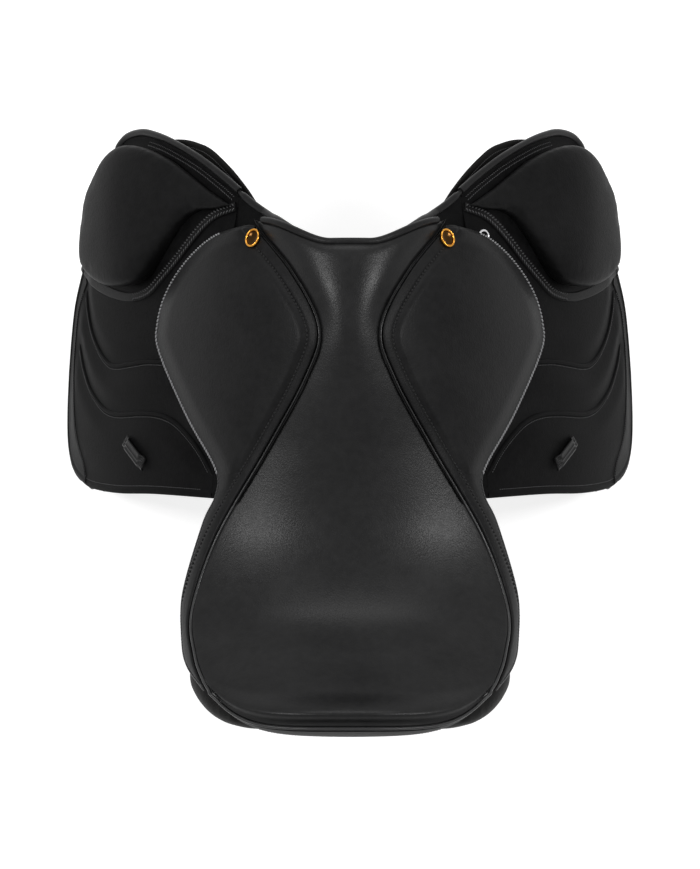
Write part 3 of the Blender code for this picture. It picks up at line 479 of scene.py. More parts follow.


# %% [markdown]
# ## Dressing and pairing
#
# Every piece but the skirt's lobe rides on a body of the frame, takes a finish, and hides the
# solids it stands for. The saddle is the same on both sides, so a right-hand piece is
# modelled and the left-hand one is its mirror copy with a mesh of its own.

# %% Dress a piece, and make its mirror copy
def dress(piece, body, finish, *nodes, slot="black_leather", bend=None, fill=None):
    """Finish, body, the solids it stands for, record slot (not used), and how full its solid is when padded
    (not used).
    """
    piece.data.materials.clear()
    piece.data.materials.append(finish)
    if bend:
        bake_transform(piece)
    else:
        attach(piece, body)
    if nodes:
        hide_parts(*nodes)
    print("dressed", piece.name, "with", len(piece.data.polygons), "faces")


def left(name):
    return name.replace("_right", "_left")


def pair(piece, body, finish, *nodes, bend=None, **settings):
    """Dress a right-hand piece and its mirrored left-hand copy."""
    copy = link(left(piece.name), piece.data.copy())
    copy.data.name = copy.name
    put(copy, coordinates(copy) * (-1, 1, 1))
    copy.data.flip_normals()
    dress(piece, body, finish, *nodes, bend=bend, **settings)
    if bend:
        flip = [(-x, y, z) for x, y, z in bend[2:]]
        bend = (left(bend[0]), left(bend[1]), *flip)
    dress(copy, left(body), finish, *[left(node) for node in nodes], bend=bend, **settings)


# %% [markdown]
# ## Finishes
#
# Shader maths reads like arithmetic here: a Socket wraps an output, and its operators add the Math
# nodes. Every other node comes from Finish.node, which sets the node's options first and its
# sockets after. Patterns read Object coordinates, in metres, so they keep their real scale.

# %% Sockets that can be calculated with
class Socket:
    def __init__(self, finish, output):
        self.finish, self.output = finish, output

    def math(self, operation, *values):
        return self.finish.node("ShaderNodeMath", {"operation": operation}, *values)

    def __add__(self, other):
        return self.math("ADD", self, other)

    def __mul__(self, other):
        return self.math("MULTIPLY", self, other)

    __radd__, __rmul__ = __add__, __mul__

    def clamp(self):
        return self.math("MINIMUM", self.math("MAXIMUM", self, 0.0), 1.0)


# %% A finish
class Finish:
    """A Principled material; what is the same all over is set on the shader itself."""

    def __init__(self, name, colour, roughness, metallic=0.0, specular=0.5, coat=0.0, sheen=0.0):
        self.material = bpy.data.materials.new(name)
        self.material.use_nodes = True
        self.material.diffuse_color = (*colour, 1)
        self.tree = self.material.node_tree
        self.shader = self.tree.nodes["Principled BSDF"]
        values = {
            "Base Color": (*colour, 1), "Roughness": roughness, "Metallic": metallic,
            "Specular IOR Level": specular, "Coat Weight": coat, "Coat Roughness": 0.2, "Sheen Weight": sheen,
        }
        for key, value in values.items():
            self.shader.inputs[key].default_value = value

    def node(self, kind, options, *values, output=0, **named):
        made = self.tree.nodes.new(kind)
        for key, value in options.items():
            if key == "stops":
                ramp = made.color_ramp
                while len(ramp.elements) < len(value):
                    ramp.elements.new(0.5)
                for element, (place, colour) in zip(ramp.elements, value):
                    element.position, element.color = place, (*colour, 1)
            else:
                setattr(made, key, value)
        sockets = list(zip(made.inputs, values))
        sockets += [(made.inputs[key.replace("_", " ")], value) for key, value in named.items()]
        for socket, value in sockets:
            if isinstance(value, Socket):
                self.tree.links.new(value.output, socket)
            elif value is not None:
                socket.default_value = value
        return Socket(self, made.outputs[output])

    def place(self):
        return self.node("ShaderNodeTexCoord", {}, output="Object")

    def stretched(self, *scale):
        """Object coordinates, scaled along X, Y and Z."""
        return self.node("ShaderNodeMapping", {}, Vector=self.place(), Scale=scale, output="Vector")

    def noise(self, scale, detail=3.0, rough=0.55, where=None):
        settings = {"Scale": scale, "Detail": detail, "Roughness": rough}
        return self.node("ShaderNodeTexNoise", {}, Vector=where or self.place(), output="Fac", **settings)

    def cells(self, scale):
        return self.node("ShaderNodeTexVoronoi", {}, Vector=self.place(), Scale=scale, output="Distance")

    def colours(self, factor, *stops):
        return self.node("ShaderNodeValToRGB", {"stops": stops}, Fac=factor, output="Color")

    def feed(self, name, value):
        self.tree.links.new(value.output, self.shader.inputs[name])

    def bump(self, height, strength, distance):
        settings = {"Strength": strength, "Distance": distance, "Height": height}
        self.feed("Normal", self.node("ShaderNodeBump", {}, output="Normal", **settings))


# %% [markdown]
# Saddle leather is smooth calf: a fine pebble of about a millimetre, pores between, and a soft
# mottle where hands and oil have been. The grain is Voronoi cells for the pebbles and noise for
# the pores, both as bump, and slow noise moves the colour and the roughness.

# %% Leathers
def leather(name, dark, light, roughness, grain, specular):
    finish = Finish(name, dark, roughness, specular=specular)
    mottle = finish.noise(22.0, 5.0) * 0.55 + finish.noise(150.0, 4.0) * 0.45
    finish.feed("Base Color", finish.colours(mottle, (0.34, dark), (0.66, light)))
    pebble = finish.cells(620.0)
    pores = finish.noise(1500.0, 2.0)
    finish.feed("Roughness", (roughness - 0.13 + mottle * 0.22 + pebble * 0.08).clamp())
    finish.bump(pebble * 0.6 + pores * 0.4 + finish.noise(230.0, 3.0) * 0.8, grain, 0.0004)
    return finish.material


LEATHERS = (
    ("seat_leather", (0.0034, 0.0034, 0.0036), (0.0082, 0.0082, 0.0084), 0.33, 0.26, 0.17),
    ("skirt_leather", (0.0040, 0.0040, 0.0042), (0.0095, 0.0095, 0.0097), 0.40, 0.36, 0.080),
    ("flap_leather", (0.0024, 0.0024, 0.0025), (0.0062, 0.0062, 0.0064), 0.46, 0.38, 0.020),
    ("block_leather", (0.0026, 0.0026, 0.0027), (0.0068, 0.0068, 0.0070), 0.44, 0.34, 0.060),
    ("edge_leather", (0.0048, 0.0048, 0.0050), (0.0105, 0.0105, 0.0107), 0.36, 0.30, 0.110),
    # The welt's colour, far paler than the seat's, is a painted highlight: the light line along the cord. Its
    # sheen is real.
    ("welt_leather", (0.0100, 0.0100, 0.0103), (0.0210, 0.0210, 0.0214), 0.30, 0.16, 0.300),
    ("lining_leather", (0.0040, 0.0039, 0.0038), (0.0090, 0.0087, 0.0084), 0.56, 0.45, 0.070),
    # The facings' paler colour is a painted highlight: the light caught by the back of the cantle and by the
    # flap's steep outer edge.
    ("facing_leather", (0.0060, 0.0060, 0.0062), (0.0130, 0.0130, 0.0133), 0.46, 0.34, 0.030),
)
seat_leather, skirt_leather, flap_leather, block_leather = (leather(*row) for row in LEATHERS[:4])
edge_leather, welt_leather, lining_leather, facing_leather = (leather(*row) for row in LEATHERS[4:])
print("leathers:", len(LEATHERS))


# %% [markdown]
# Thread is twisted and waxed. It is too thin for a woven pattern to read, so it gets a fine
# diagonal noise. The skirt's edge is sewn with a paler thread than the seams.

# %% Threads
def thread(name, colour, rough):
    finish = Finish(name, colour, rough, specular=0.4)
    twist = finish.noise(2600.0, 1.0)
    pale = tuple(min(1.0, channel * 1.7) for channel in colour)
    finish.feed("Base Color", finish.colours(twist, (0.35, colour), (0.65, pale)))
    finish.bump(twist, 0.3, 0.0002)
    return finish.material


dark_thread = thread("dark_thread", (0.026, 0.026, 0.027), 0.50)
grey_thread = thread("grey_thread", (0.150, 0.150, 0.154), 0.60)
# needle_black is near-black. It is the painted shade of needle holes, used for the skirt's seam and for the
# dots beside the band's stitches.
needle_black = thread("needle_black", (0.0010, 0.0010, 0.0011), 0.90)


# %% [markdown]
# Under the leather lie the tree of laminated beech, stained nearly black, the painted head plate,
# the steel bars, black webs and the dark foam of the seat. Wood gets a stretched noise for its
# grain. Metal varies softly in colour and roughness, with faint scratches. Webbing has woven ridges.

# %% Wood, metals, webbing and foam
def wood(name):
    finish = Finish(name, (0.030, 0.020, 0.013), 0.42, specular=0.3, coat=0.10)
    grain = finish.noise(1.0, 5.0, 0.6, finish.stretched(60.0, 9.0, 240.0))
    pores = finish.noise(700.0, 2.0)
    dark, light = (0.016, 0.011, 0.007), (0.050, 0.034, 0.022)
    finish.feed("Base Color", finish.colours(grain, (0.30, dark), (0.70, light)))
    finish.feed("Roughness", (0.34 + grain * 0.2).clamp())
    finish.bump(grain * 0.7 + pores * 0.3, 0.15, 0.0003)
    return finish.material


def metal(name, low, high, rough, scratch):
    finish = Finish(name, low, rough, metallic=1.0)
    cloud = finish.noise(55.0, 4.0)
    lines = finish.noise(1.0, 3.0, 0.6, finish.stretched(900.0, 160.0, 900.0))
    finish.feed("Base Color", finish.colours(cloud, (0.25, low), (0.75, high)))
    finish.feed("Roughness", (rough - 0.06 + cloud * 0.10 + lines * 0.06).clamp())
    finish.bump(lines, scratch, 0.0001)
    return finish.material


def webbing(name, low, high, pitch):
    finish = Finish(name, low, 0.85, specular=0.2, sheen=0.2)
    settings = {"Vector": finish.place(), "Distortion": 0.6, "output": "Fac"}
    across, along = (
        finish.node("ShaderNodeTexWave", {"bands_direction": axis}, Scale=scale, **settings)
        for axis, scale in (("X", pitch), ("Y", pitch * 0.8))
    )
    weave = across * along * 0.8 + finish.noise(400.0, 3.0) * 0.4
    finish.feed("Base Color", finish.colours(weave, (0.15, low), (0.75, high)))
    finish.bump(weave, 0.5, 0.0008)
    return finish.material


def foam(name):
    finish = Finish(name, (0.030, 0.030, 0.031), 0.95, specular=0.1)
    pores = finish.cells(520.0) * 0.7 + finish.noise(260.0, 4.0) * 0.5
    dark, light = (0.018, 0.018, 0.018), (0.045, 0.045, 0.046)
    finish.feed("Base Color", finish.colours(pores, (0.10, dark), (0.70, light)))
    finish.bump(pores, 0.5, 0.0008)
    return finish.material


beech = wood("laminated_beech")
steel = metal("stainless_steel", (0.52, 0.52, 0.53), (0.64, 0.64, 0.65), 0.24, 0.10)
painted_steel = metal("painted_steel", (0.022, 0.022, 0.023), (0.045, 0.045, 0.046), 0.44, 0.06)
brass = metal("gilt_brass", (0.46, 0.20, 0.025), (0.66, 0.32, 0.055), 0.20, 0.06)
# The dish's near-black brass is a painted reflection: the dark that the hollow of the gilt nail mirrors.
dish_painted_reflection = metal("smoked_brass", (0.020, 0.010, 0.004), (0.075, 0.036, 0.010), 0.16, 0.03)
linen_web = webbing("linen_webbing", (0.012, 0.012, 0.012), (0.034, 0.033, 0.032), 260.0)
seat_foam_finish = foam("seat_foam")
print("materials:", len(bpy.data.materials))

# %% [markdown]
# ## The seat
#
# The seat is one skin of leather, blocked wet over foam and webs and nailed to the tree. Its skin
# is a leaf on the seat's own surface. Front edge and sides roll over, so that a dark seam lies
# beside the welt, and the foam stands up in a soft crest along the cantle.

# %% Seat cover
SEAT_LENGTH = 0.43
SEAT_PROUD = 0.0010
SIDE_ROLL, SIDE_DROP = 0.0018, 0.0013
FRONT_ROLL, FRONT_DROP = 0.0120, 0.0044
REAR_ROLL, REAR_DROP = 0.0040, 0.0012


def seat_cover(u, v, level):
    across = np.sin(np.pi / 2 * (2 * u - 1))
    half = through(SEAT_ROWS, v)[..., 2]
    sides = (1 - roll(half * (1 - np.abs(across)), SIDE_ROLL)) * SIDE_DROP
    front = np.clip(1 - v * SEAT_LENGTH / FRONT_ROLL, 0, 1) ** 2 * FRONT_DROP
    rear = np.clip(1 - (1 - v) * SEAT_LENGTH / REAR_ROLL, 0, 1) ** 2 * REAR_DROP
    drop = np.maximum(np.maximum(sides, rear), front)
    depth = np.where(level > 0.5, drop, np.maximum(COVER_THICKNESS, drop + 0.0005))
    forward = 0.0032 * (1 - ease(v * SEAT_LENGTH / 0.020)) - SEAT_PROUD * ease((v - 0.97) / 0.03)
    lift = crest(across, v, depth)
    move = np.stack([0 * lift, forward, lift], axis=-1)
    return seat_skin(across * (1 + SEAT_PROUD / half), v, depth) + move


edge_steps = np.array([0, 0.002, 0.005, 0.009, 0.014, 0.020, 0.028, 0.038, 0.050])
front_steps = [0, 0.0008, 0.002, 0.004, 0.007, 0.011, 0.016]
rear_steps = [0.989, 0.993, 0.996, 0.998, 0.9993, 1]
columns = joined(edge_steps, np.linspace(0.05, 0.95, 64), 1 - edge_steps)
rows = joined(front_steps, np.linspace(0.016, 0.84, 90), np.linspace(0.84, 0.985, 40), rear_steps)
cover = leaf("seat_cover_skin", columns, rows, seat_cover)
dress(cover, "saddle", seat_leather, "seat_cover", fill=0.85)


# %% Seat foam
def under_cover(across, back, depth):
    """Points under the cover, with the crest, kept behind the seat's front edge."""
    places = seat_skin(across, back, depth) + upward(crest(across, back, depth))
    places[..., 1] = np.minimum(places[..., 1], seat_point(across, 0 * across)[..., 1])
    return places


def seat_foam(u, v, level):
    across, back = 0.915 * (2 * u - 1), 0.958 * v
    inside = np.minimum(np.minimum(u, 1 - u) * 0.2, np.minimum(v, 1 - v) * SEAT_LENGTH)
    share = 0.35 + 0.65 * roll(inside, 0.008)
    middle = COVER_THICKNESS + GAP + FOAM_THICKNESS / 2
    return under_cover(across, back, middle + (0.5 - level) * FOAM_THICKNESS * share)


columns, rows = dense(0, 1, 40, (0, 1), 0.04, 5), dense(0, 1, 70, (0, 1), 0.02, 5)
foam_piece = leaf("seat_foam_pad", columns, rows, seat_foam)
dress(foam_piece, "saddle", seat_foam_finish, "seat_foam", slot="foam", fill=0.7)

# %% [markdown]
# The webs are strained over the tree from pommel to cantle and from side to side. They carry the
# foam as a hammock does. They are flat straps, so they are leaves with square-cut edges.

# %% Seat webs
WEB_LONG = COVER_THICKNESS + FOAM_THICKNESS + 2 * GAP
WEB_CROSS = WEB_LONG + WEB_THICKNESS + GAP


def seat_web(depth, reach, first, last):
    """A web over part of the solids' grid of 8 columns to a side and 24 rows."""
    def place(u, v, level):
        across = np.sin(np.pi / 2 * (2 * u - 1) * reach / 8)
        edge = roll(np.minimum(u, 1 - u) * 0.06, 0.0009)
        below = depth + WEB_THICKNESS * (0.5 + (0.5 - level) * edge)
        return under_cover(across, mix(first, last, v) / 24, below)
    return place


for name, rows, depth, reach, first, last in (
    ("seat_web_long", 60, WEB_LONG, 2, 2, 22), ("seat_web_front", 14, WEB_CROSS, 6, 8, 11),
    ("seat_web_rear", 14, WEB_CROSS, 6, 14, 17),
):
    columns = dense(0, 1, 16, (0, 1), 0.02, 3)
    strap = leaf(name + "_strap", columns, np.linspace(0, 1, rows), seat_web(depth, reach, first, last))
    dress(strap, "saddle", linen_web, name, slot="webbing")

# %% [markdown]
# A welt is a cord wrapped in thin leather and sewn into the seam round the seat. The binding over
# the pommel arch is a thicker roll of the same kind. Both are curves with a round bevel.

# %% Welt and pommel binding
CORD = 0.0014
BINDING = 0.0032
CORD_OUT = SEAT_PROUD + CORD + 0.0001
CORD_DEPTH = CORD - 0.0002
back = np.linspace(0.004, 0.985, 110)
one = np.ones_like(back)
side_run = seat_skin(one, back, CORD_DEPTH) + edge_out(one, back, False) * CORD_OUT
end, near_end = np.array([1.0]), np.array([0.98])
corner = unit(edge_out(end, end, False) + edge_out(near_end, end, True))
corner_point = seat_skin(end, end, CORD_DEPTH) + corner * CORD_OUT * 1.2
across = np.linspace(0.95, 0, 40)
rim = np.ones_like(across)
rim_run = seat_skin(across, rim, CORD_DEPTH) + edge_out(across, rim, True) * CORD_OUT
half_route = np.concatenate([side_run, corner_point, rim_run])
route = np.concatenate([half_route, half_route[-2::-1] * (-1, 1, 1)])
welt = rope("seat_welt_cord", spaced(route, 420, smooth=False), CORD)
# The welt's pale colour is a painted highlight along the cord.
dress(welt, "saddle", welt_leather, "seat_welt")
print("welt:", round(lengths(route)[-1] * 1000), "mm")

across = np.linspace(-0.955, 0.955, 110)
roll_line = seat_skin(across, 0 * across, 0.0046) + edge_out(across, 0 * across, True) * 0.0046
thick = 0.6 + 0.4 * roll((1 - np.abs(across)) * 0.09, 0.008)
dress(rope("pommel_binding", roll_line, BINDING * thick, sides=5), "saddle", edge_leather, "pommel_roll")

# %% [markdown]
# The back of the cantle is faced with one shaped piece of leather under the welt. It bulges a
# little over the tree and thins to its lower edge, where it is stitched.

# %% Cantle facing
FACING_REACH = 0.94
FACING_HEIGHT, FACING_END = 0.056, 0.012
FACING_THICKNESS = 0.0035


def facing_line(across, v, out_by):
    """Points down the back of the cantle: v 0 under the welt, 1 at the lower edge."""
    rim = seat_skin(across, np.ones_like(across), 2 * WELT_RADIUS + 2 * GAP)
    out = unit(edge_out(across, np.ones_like(across), True) * (1, 1, 0))
    corner = np.abs(across / FACING_REACH) ** 1.8
    drop = mix(FACING_HEIGHT, FACING_END, corner)
    lean = 0.0030 * v * (1 - corner)
    bulge = 0.0022 * np.sin(np.pi * v) * (1 - corner)
    return rim + out * (GAP + lean + bulge + out_by)[..., None] + upward(-drop * v)


def facing(u, v, level):
    across = FACING_REACH * (2 * u - 1)
    edge = roll(np.minimum(v * 0.05, (1 - v) * 0.05), 0.0018)
    return facing_line(across, v, FACING_THICKNESS * (0.5 + (level - 0.5) * edge))


rows = dense(0, 1, 24, (0, 1), 0.05, 5)
back_piece = leaf("cantle_facing_skin", np.linspace(0, 1, 90), rows, facing)
# The cantle facing's paler leather is a painted highlight on the back of the cantle.
dress(back_piece, "saddle", facing_leather, "cantle_facing")
across = np.linspace(-0.88, 0.88, 160)
line = facing_line(across, np.full_like(across, 0.90), np.full_like(across, 0.0036))
out = unit(edge_out(across, np.ones_like(across), True) * (1, 1, 0))
dress(stitches("cantle_stitches", line, out), "saddle", dark_thread)

# %% [markdown]
# ## The skirts
#
# A skirt covers the stirrup bar on each side. It is padded, with a stitched seam a finger's width
# outside the welt, and it can be lifted along a fold. So it is two leaves that meet on the fold
# line: the base, and the lobe that runs from the fold to the free edge.

# %% The skirt's face
welt_flat = np.stack([WELT_X, WELT_Y], axis=1)
rim_flat = np.concatenate([[(0.078, 0.2315)], RIM[:, [1, 0]], [(0.118, -0.187)]])
SEAM = 0.0112
EDGE_SEAM = 0.0021
SKIRT_PUFF = 0.0026
outer_side = side_run + edge_out(one, back, False) * (CORD + 0.0002)


def welt_side(y):
    """Where the skirt meets the welt."""
    return np.interp(y, outer_side[::-1, 1], outer_side[::-1, 0]) + 0.0001


def skirt_lift(x, y):
    """Padding, seam and edge groove, above the plain skirt."""
    from_welt = away(x, y, welt_flat)
    from_edge = away(x, y, rim_flat)
    width = np.maximum(skirt_edge(y)[0] - welt_x(y), 0.001)
    fade = ease((width - 0.018) / 0.025)
    strip = 0.0004 * np.sin(np.pi * np.clip(from_welt / SEAM, 0, 1))
    dip = -0.0004 * (1 - ease((from_welt - 0.0045) / 0.0060))
    groove = -0.0006 * np.exp(-((from_welt - SEAM) / 0.0011) ** 2)
    puff = SKIRT_PUFF * ease((from_welt - SEAM) / 0.0062) * fade
    edge = ease((from_edge - 0.001) / 0.016)
    hem = -0.0005 * np.exp(-((from_edge - EDGE_SEAM) / 0.0008) ** 2)
    return strip + dip + groove * (0.4 + 0.6 * fade) + puff * edge + hem


def skirt_face(x, y, level):
    """The skirt's outer and inner face, rounded along its free edge and beside the welt."""
    from_edge = away(x, y, rim_flat)
    from_welt = np.maximum(x - welt_side(y), 0) / 1.3
    share = roll(from_edge, 0.0026) * mix(0.50, 1, roll(from_welt, 0.0011))
    half = SKIRT_THICKNESS / 2 * share
    return skirt_skin(x, y, np.where(level > 0.5, half + skirt_lift(x, y) * share, -half))


# %% The skirt's fixed base
def by_edge(first, last, count):
    """Stations in y, evenly spaced along the skirt's edge."""
    line = spaced(RIM[:, [1, 0]], 400, smooth=False)
    inside = line[(line[:, 1] <= first) & (line[:, 1] >= last)]
    picked = spaced(inside, count, smooth=False)[:, 1]
    picked[0], picked[-1] = first, last
    return picked


def patch_out(y):
    """Where the fixed front patch ends: it gives way to the lobe behind PATCH_FULL."""
    beside_fold = fold_x(SKIRT_FOLD, y) + FLEX_WIDTH
    return mix(beside_fold, PATCH_OUT, ease((y - PATCH_REAR) / (PATCH_FULL - PATCH_REAR)))


def base_out(y):
    """Where the fixed base ends: at its patch, at the fold, or at the free edge behind the lobe."""
    behind_patch = np.where(y >= LOBE_REAR, fold_x(SKIRT_FOLD, y), skirt_edge(y)[0])
    return np.where(y > PATCH_REAR, patch_out(y), behind_patch)


NEAR_SEAM = np.array([
    0, 0.3, 0.7, 1.2, 1.8, 2.6, 4.0, 5.6, 7.2, 8.4, 9.2, 9.8, 10.3, 10.8, 11.3, 11.9, 12.6, 13.6, 15.2, 17.6,
    20.5, 24,
]) / 1000
SEAM_COLUMNS, OUTER_COLUMNS = len(NEAR_SEAM), 22


def skirt_base(u, v, level):
    y, column = v, u
    start, end = welt_side(y), base_out(y)
    width = end - start
    scale = np.minimum(1, width / (NEAR_SEAM[-1] * 1.5))
    near = start + np.interp(column, np.arange(SEAM_COLUMNS), NEAR_SEAM) * scale
    rest = np.sin(np.clip((column - SEAM_COLUMNS + 1) / OUTER_COLUMNS, 0, 1) * np.pi / 2)
    x = np.where(column < SEAM_COLUMNS, near, mix(start + NEAR_SEAM[-1] * scale, end, rest))
    return skirt_face(x, y, level)


base_rows = np.concatenate([
    by_edge(0.2308, PATCH_REAR + 0.0003, 40), by_edge(PATCH_REAR - 0.0001, LOBE_REAR + 0.0001, 90),
    by_edge(LOBE_REAR - 0.0001, -0.1795, 110),
])[::-1]
base = leaf("skirt_base_skin_right", np.arange(SEAM_COLUMNS + OUTER_COLUMNS), base_rows, skirt_base)


# %% The skirt's lobe
def skirt_lobe(u, v, level):
    y = v
    start = np.where(y > PATCH_REAR, patch_out(y), fold_x(SKIRT_FOLD, y))
    end = skirt_edge(y)[0]
    return skirt_face(mix(start, end, np.sin(u * np.pi / 2)), y, level)


lobe_rows = [by_edge(0.2302, PATCH_REAR + 0.0003, 60), by_edge(PATCH_REAR - 0.0001, LOBE_REAR, 90)]
lobe_columns = dense(0, 1, 46, (0.9,), 0.05, 6)
lobe = leaf("skirt_lobe_skin_right", lobe_columns, np.concatenate(lobe_rows)[::-1], skirt_lobe)


def fold_point(y, beyond):
    x = fold_x(SKIRT_FOLD, y) + beyond
    return Vector(skirt_skin(x, y, SKIRT_THICKNESS / 2))


strip_start, strip_end = fold_point(0.11, 0.0), fold_point(0.11, FLEX_WIDTH)
run = (fold_point(0.200, 0) - fold_point(0.012, 0)).normalized()
strip_end = strip_end - run * (strip_end - strip_start).dot(run)
bend = ("flex_body_right", "lobe_body_right", tuple(strip_start), tuple(strip_end))
pair(base, "saddle", skirt_leather, "skirt_base_right")
pair(lobe, "lobe_body_right", skirt_leather, "skirt_flex_right", "skirt_lobe_right", bend=bend)


# %% The welt's sewing edge
def flange(u, v, level):
    """The welt's sewing edge, from under the seat's edge to under the skirt."""
    ones = np.ones_like(v)
    inner = seat_skin(ones, v, 0.0040) - edge_out(ones, v, False) * 0.0015
    y = np.clip(inner[..., 1], -0.176, 0.2305)
    outer = skirt_skin(welt_side(y) + 0.0045, y, -SKIRT_THICKNESS / 2 - 0.0004)
    sag = -0.0010 * np.sin(np.pi * u) - 0.0010 * (1 - level)
    return mix(inner, outer, u[..., None]) + upward(sag)


flange_piece = leaf("welt_flange_right", np.linspace(0, 1, 8), np.linspace(0.004, 0.93, 120), flange)
pair(flange_piece, "saddle", edge_leather)

# %% [markdown]
# The seam lies in a groove, and its stitches are near-black grains: black thread with the painted
# shade of its needle holes. The free edge is sewn with a paler thread, which is the fine light line
# round the skirt. Behind the lobe the edge is sewn with dark thread, in a row of its own, because the lobe
# moves and the tail doesn't.

# %% Skirt stitching
def sew_skirt(name, flat, body, finish, **size):
    x, y = flat.T
    line = skirt_skin(x, y, SKIRT_THICKNESS / 2 + skirt_lift(x, y) + 0.0003)
    pair(stitches(name, line, skirt_out(x, y), **size), body, finish)


seam = offset_line(welt_flat, -SEAM, 500)
seam = seam[(seam[:, 1] < 0.212) & (seam[:, 1] > -0.172)]
seam = seam[seam[:, 0] < base_out(seam[:, 1]) - 0.002]
edge_line = offset_line(RIM[:, [1, 0]], -EDGE_SEAM, 900)
edge_x, edge_y = edge_line.T
front_edge = edge_line[(edge_y > LOBE_REAR + 0.001) & (edge_y < 0.2275) & (edge_x > 0.099)]
rear_edge = edge_line[(edge_y < LOBE_REAR - 0.0005) & (edge_y > -0.174)]
for name, flat, body, finish, pitch, length, width, slant in (
    ("skirt_seam_stitches_right", seam, "saddle", needle_black, 0.0038, 0.0026, 0.0022, 24),
    ("skirt_edge_stitches_right", front_edge, "lobe_body_right", grey_thread, 0.0036, 0.0038, 0.0022, 30),
    ("skirt_tail_stitches_right", rear_edge, "saddle", dark_thread, 0.0030, 0.0026, 0.0012, 20),
):
    sew_skirt(name, flat, body, finish, pitch=pitch, length=length, width=width, slant=slant)

# %% [markdown]
# ## The flaps
#
# A flap is a broad cut of leather that hangs from the tree. A leaf is stretched between its four
# sides, with the light padding of the panels that two wave-shaped ridges part. Ridges, rolled
# front edge and bands are pieces of their own on it, because they are crisp where the flap is soft.

# %% Outlines of the flap
FLAP_PUFF, FLAP_ROUND = 0.0026, 0.0020
FLAP_FRONT = [
    (0.0905, 0.2835), (0.1245, 0.3055), (0.1650, 0.3260), (0.1950, 0.3375), (0.2160, 0.3425),
    (0.2420, 0.3425), (0.2640, 0.3340), (0.2900, 0.3080), (0.3140, 0.2730), (0.3400, 0.2380),
]
FLAP_BOTTOM = [
    (0.3400, 0.2380), (0.3720, 0.2010), (0.3880, 0.1600), (0.3970, 0.1200), (0.3990, 0.0930),
    (0.3960, 0.0690), (0.3830, 0.0485), (0.3680, 0.0370), (0.3560, 0.0308),
]
FLAP_REAR_EDGE = [(0.1900, 0.0035), (0.2600, 0.0095), (0.3240, 0.0195), (0.3560, 0.0308)]
flap_top = [(float(side_distance(np.array(x))) + GAP / 2, y) for y, x in FLAP_FOLD]
front_line = spaced([flap_top[0]] + FLAP_FRONT, 400)
bottom_line = spaced(FLAP_BOTTOM, 400)
rear_line = spaced([flap_top[1]] + FLAP_REAR_EDGE, 400)
fine_rim = np.concatenate([front_line, bottom_line[1:], rear_line[::-1][1:]])
flap_rim = fine_rim[::8]
WAVE_FRONT = [
    (0.1190, 0.1203), (0.1460, 0.1215), (0.1692, 0.1230), (0.2022, 0.1268), (0.2312, 0.1275),
    (0.2572, 0.1284), (0.2768, 0.1329), (0.2984, 0.1467), (0.3188, 0.1682), (0.3310, 0.1919),
    (0.3350, 0.2110),
]
WAVE_REAR = [
    (0.1022, 0.0135), (0.1185, 0.0354), (0.1384, 0.0541), (0.1594, 0.0681), (0.1848, 0.0762),
    (0.2158, 0.0800), (0.2544, 0.0826), (0.2783, 0.0877), (0.2973, 0.0963), (0.3240, 0.1152),
    (0.3450, 0.1405), (0.3555, 0.1620),
]
wave_front, wave_rear = spaced(WAVE_FRONT, 120), spaced(WAVE_REAR, 120)


# %% A patch between four sides
def patch(top, bottom, front, rear):
    """Points inside four sides: u runs from top to bottom, v from the rear side to the front side."""
    def at(line, share):
        return read_off(share, np.linspace(0, 1, len(line)), line)

    def place(u, v):
        u1, v1 = u[..., None], v[..., None]
        straight = (1 - u1) * at(top, v) + u1 * at(bottom, v) + (1 - v1) * at(rear, u) + v1 * at(front, u)
        upper = (1 - v1) * top[0] + v1 * top[-1]
        lower = (1 - v1) * bottom[0] + v1 * bottom[-1]
        return straight - ((1 - u1) * upper + u1 * lower)
    return place


flap_patch = patch(spaced([flap_top[1], flap_top[0]], 50, False), bottom_line[::-1], front_line, rear_line)


# %% The flap
def flap_lift(distance, y):
    """The flap's padding: full between the waves, flat beside them and towards the edges."""
    from_waves = np.minimum(away(distance, y, wave_front[::4]), away(distance, y, wave_rear[::4]))
    from_rim = away(distance, y, flap_rim)
    puff = FLAP_PUFF * ease(from_waves / 0.022) * ease((from_rim - 0.010) / 0.030)
    ridge = 0.0007 * np.exp(-((from_rim - 0.0046) / 0.0011) ** 2)
    groove = 0.0006 * np.exp(-((from_rim - 0.0072) / 0.0012) ** 2)
    return puff + (ridge - groove)


def kept_inside(flat, rim, reach=0.004):
    """Points that stray over the rim of a cut come back to the nearest point of it."""
    inside = np.zeros(len(flat), bool)
    for (a, b), (c, d) in zip(rim, np.roll(rim, -1, axis=0)):
        if b != d:
            between = (b > flat[:, 1]) != (d > flat[:, 1])
            inside ^= between & (flat[:, 0] < (c - a) * (flat[:, 1] - b) / (d - b) + a)
    for index in np.flatnonzero(~inside):
        near = rim[np.argmin(np.hypot(*(rim - flat[index]).T))]
        if np.hypot(*(near - flat[index])) < reach:
            flat[index] = near
    return flat


def flap_leaf(u, v, level):
    flat = kept_inside(flap_patch(u, v), fine_rim)
    share = roll(away(*flat.T, flap_rim), FLAP_ROUND)
    share = np.where(u < 0.02, 1, share)
    padding = np.where(level > 0.5, flap_lift(*flat.T) * share, 0)
    return side(*flat.T, -FLAP_THICKNESS / 2 + (level - 0.5) * FLAP_THICKNESS * share + padding)


EDGE_STEPS = np.array([0, 0.0015, 0.004, 0.008, 0.013, 0.019, 0.026, 0.034])


def cut_grid(count):
    """Columns and rows of a broad cut, closer together beside its free edges."""
    far = 1 - EDGE_STEPS
    rows = joined(EDGE_STEPS, np.linspace(0.034, 0.966, count), far)
    return joined(np.linspace(0, 0.966, count), far), rows


pair(leaf("flap_skin_right", *cut_grid(84), flap_leaf), "flap_body_right", flap_leather, "flap_right")


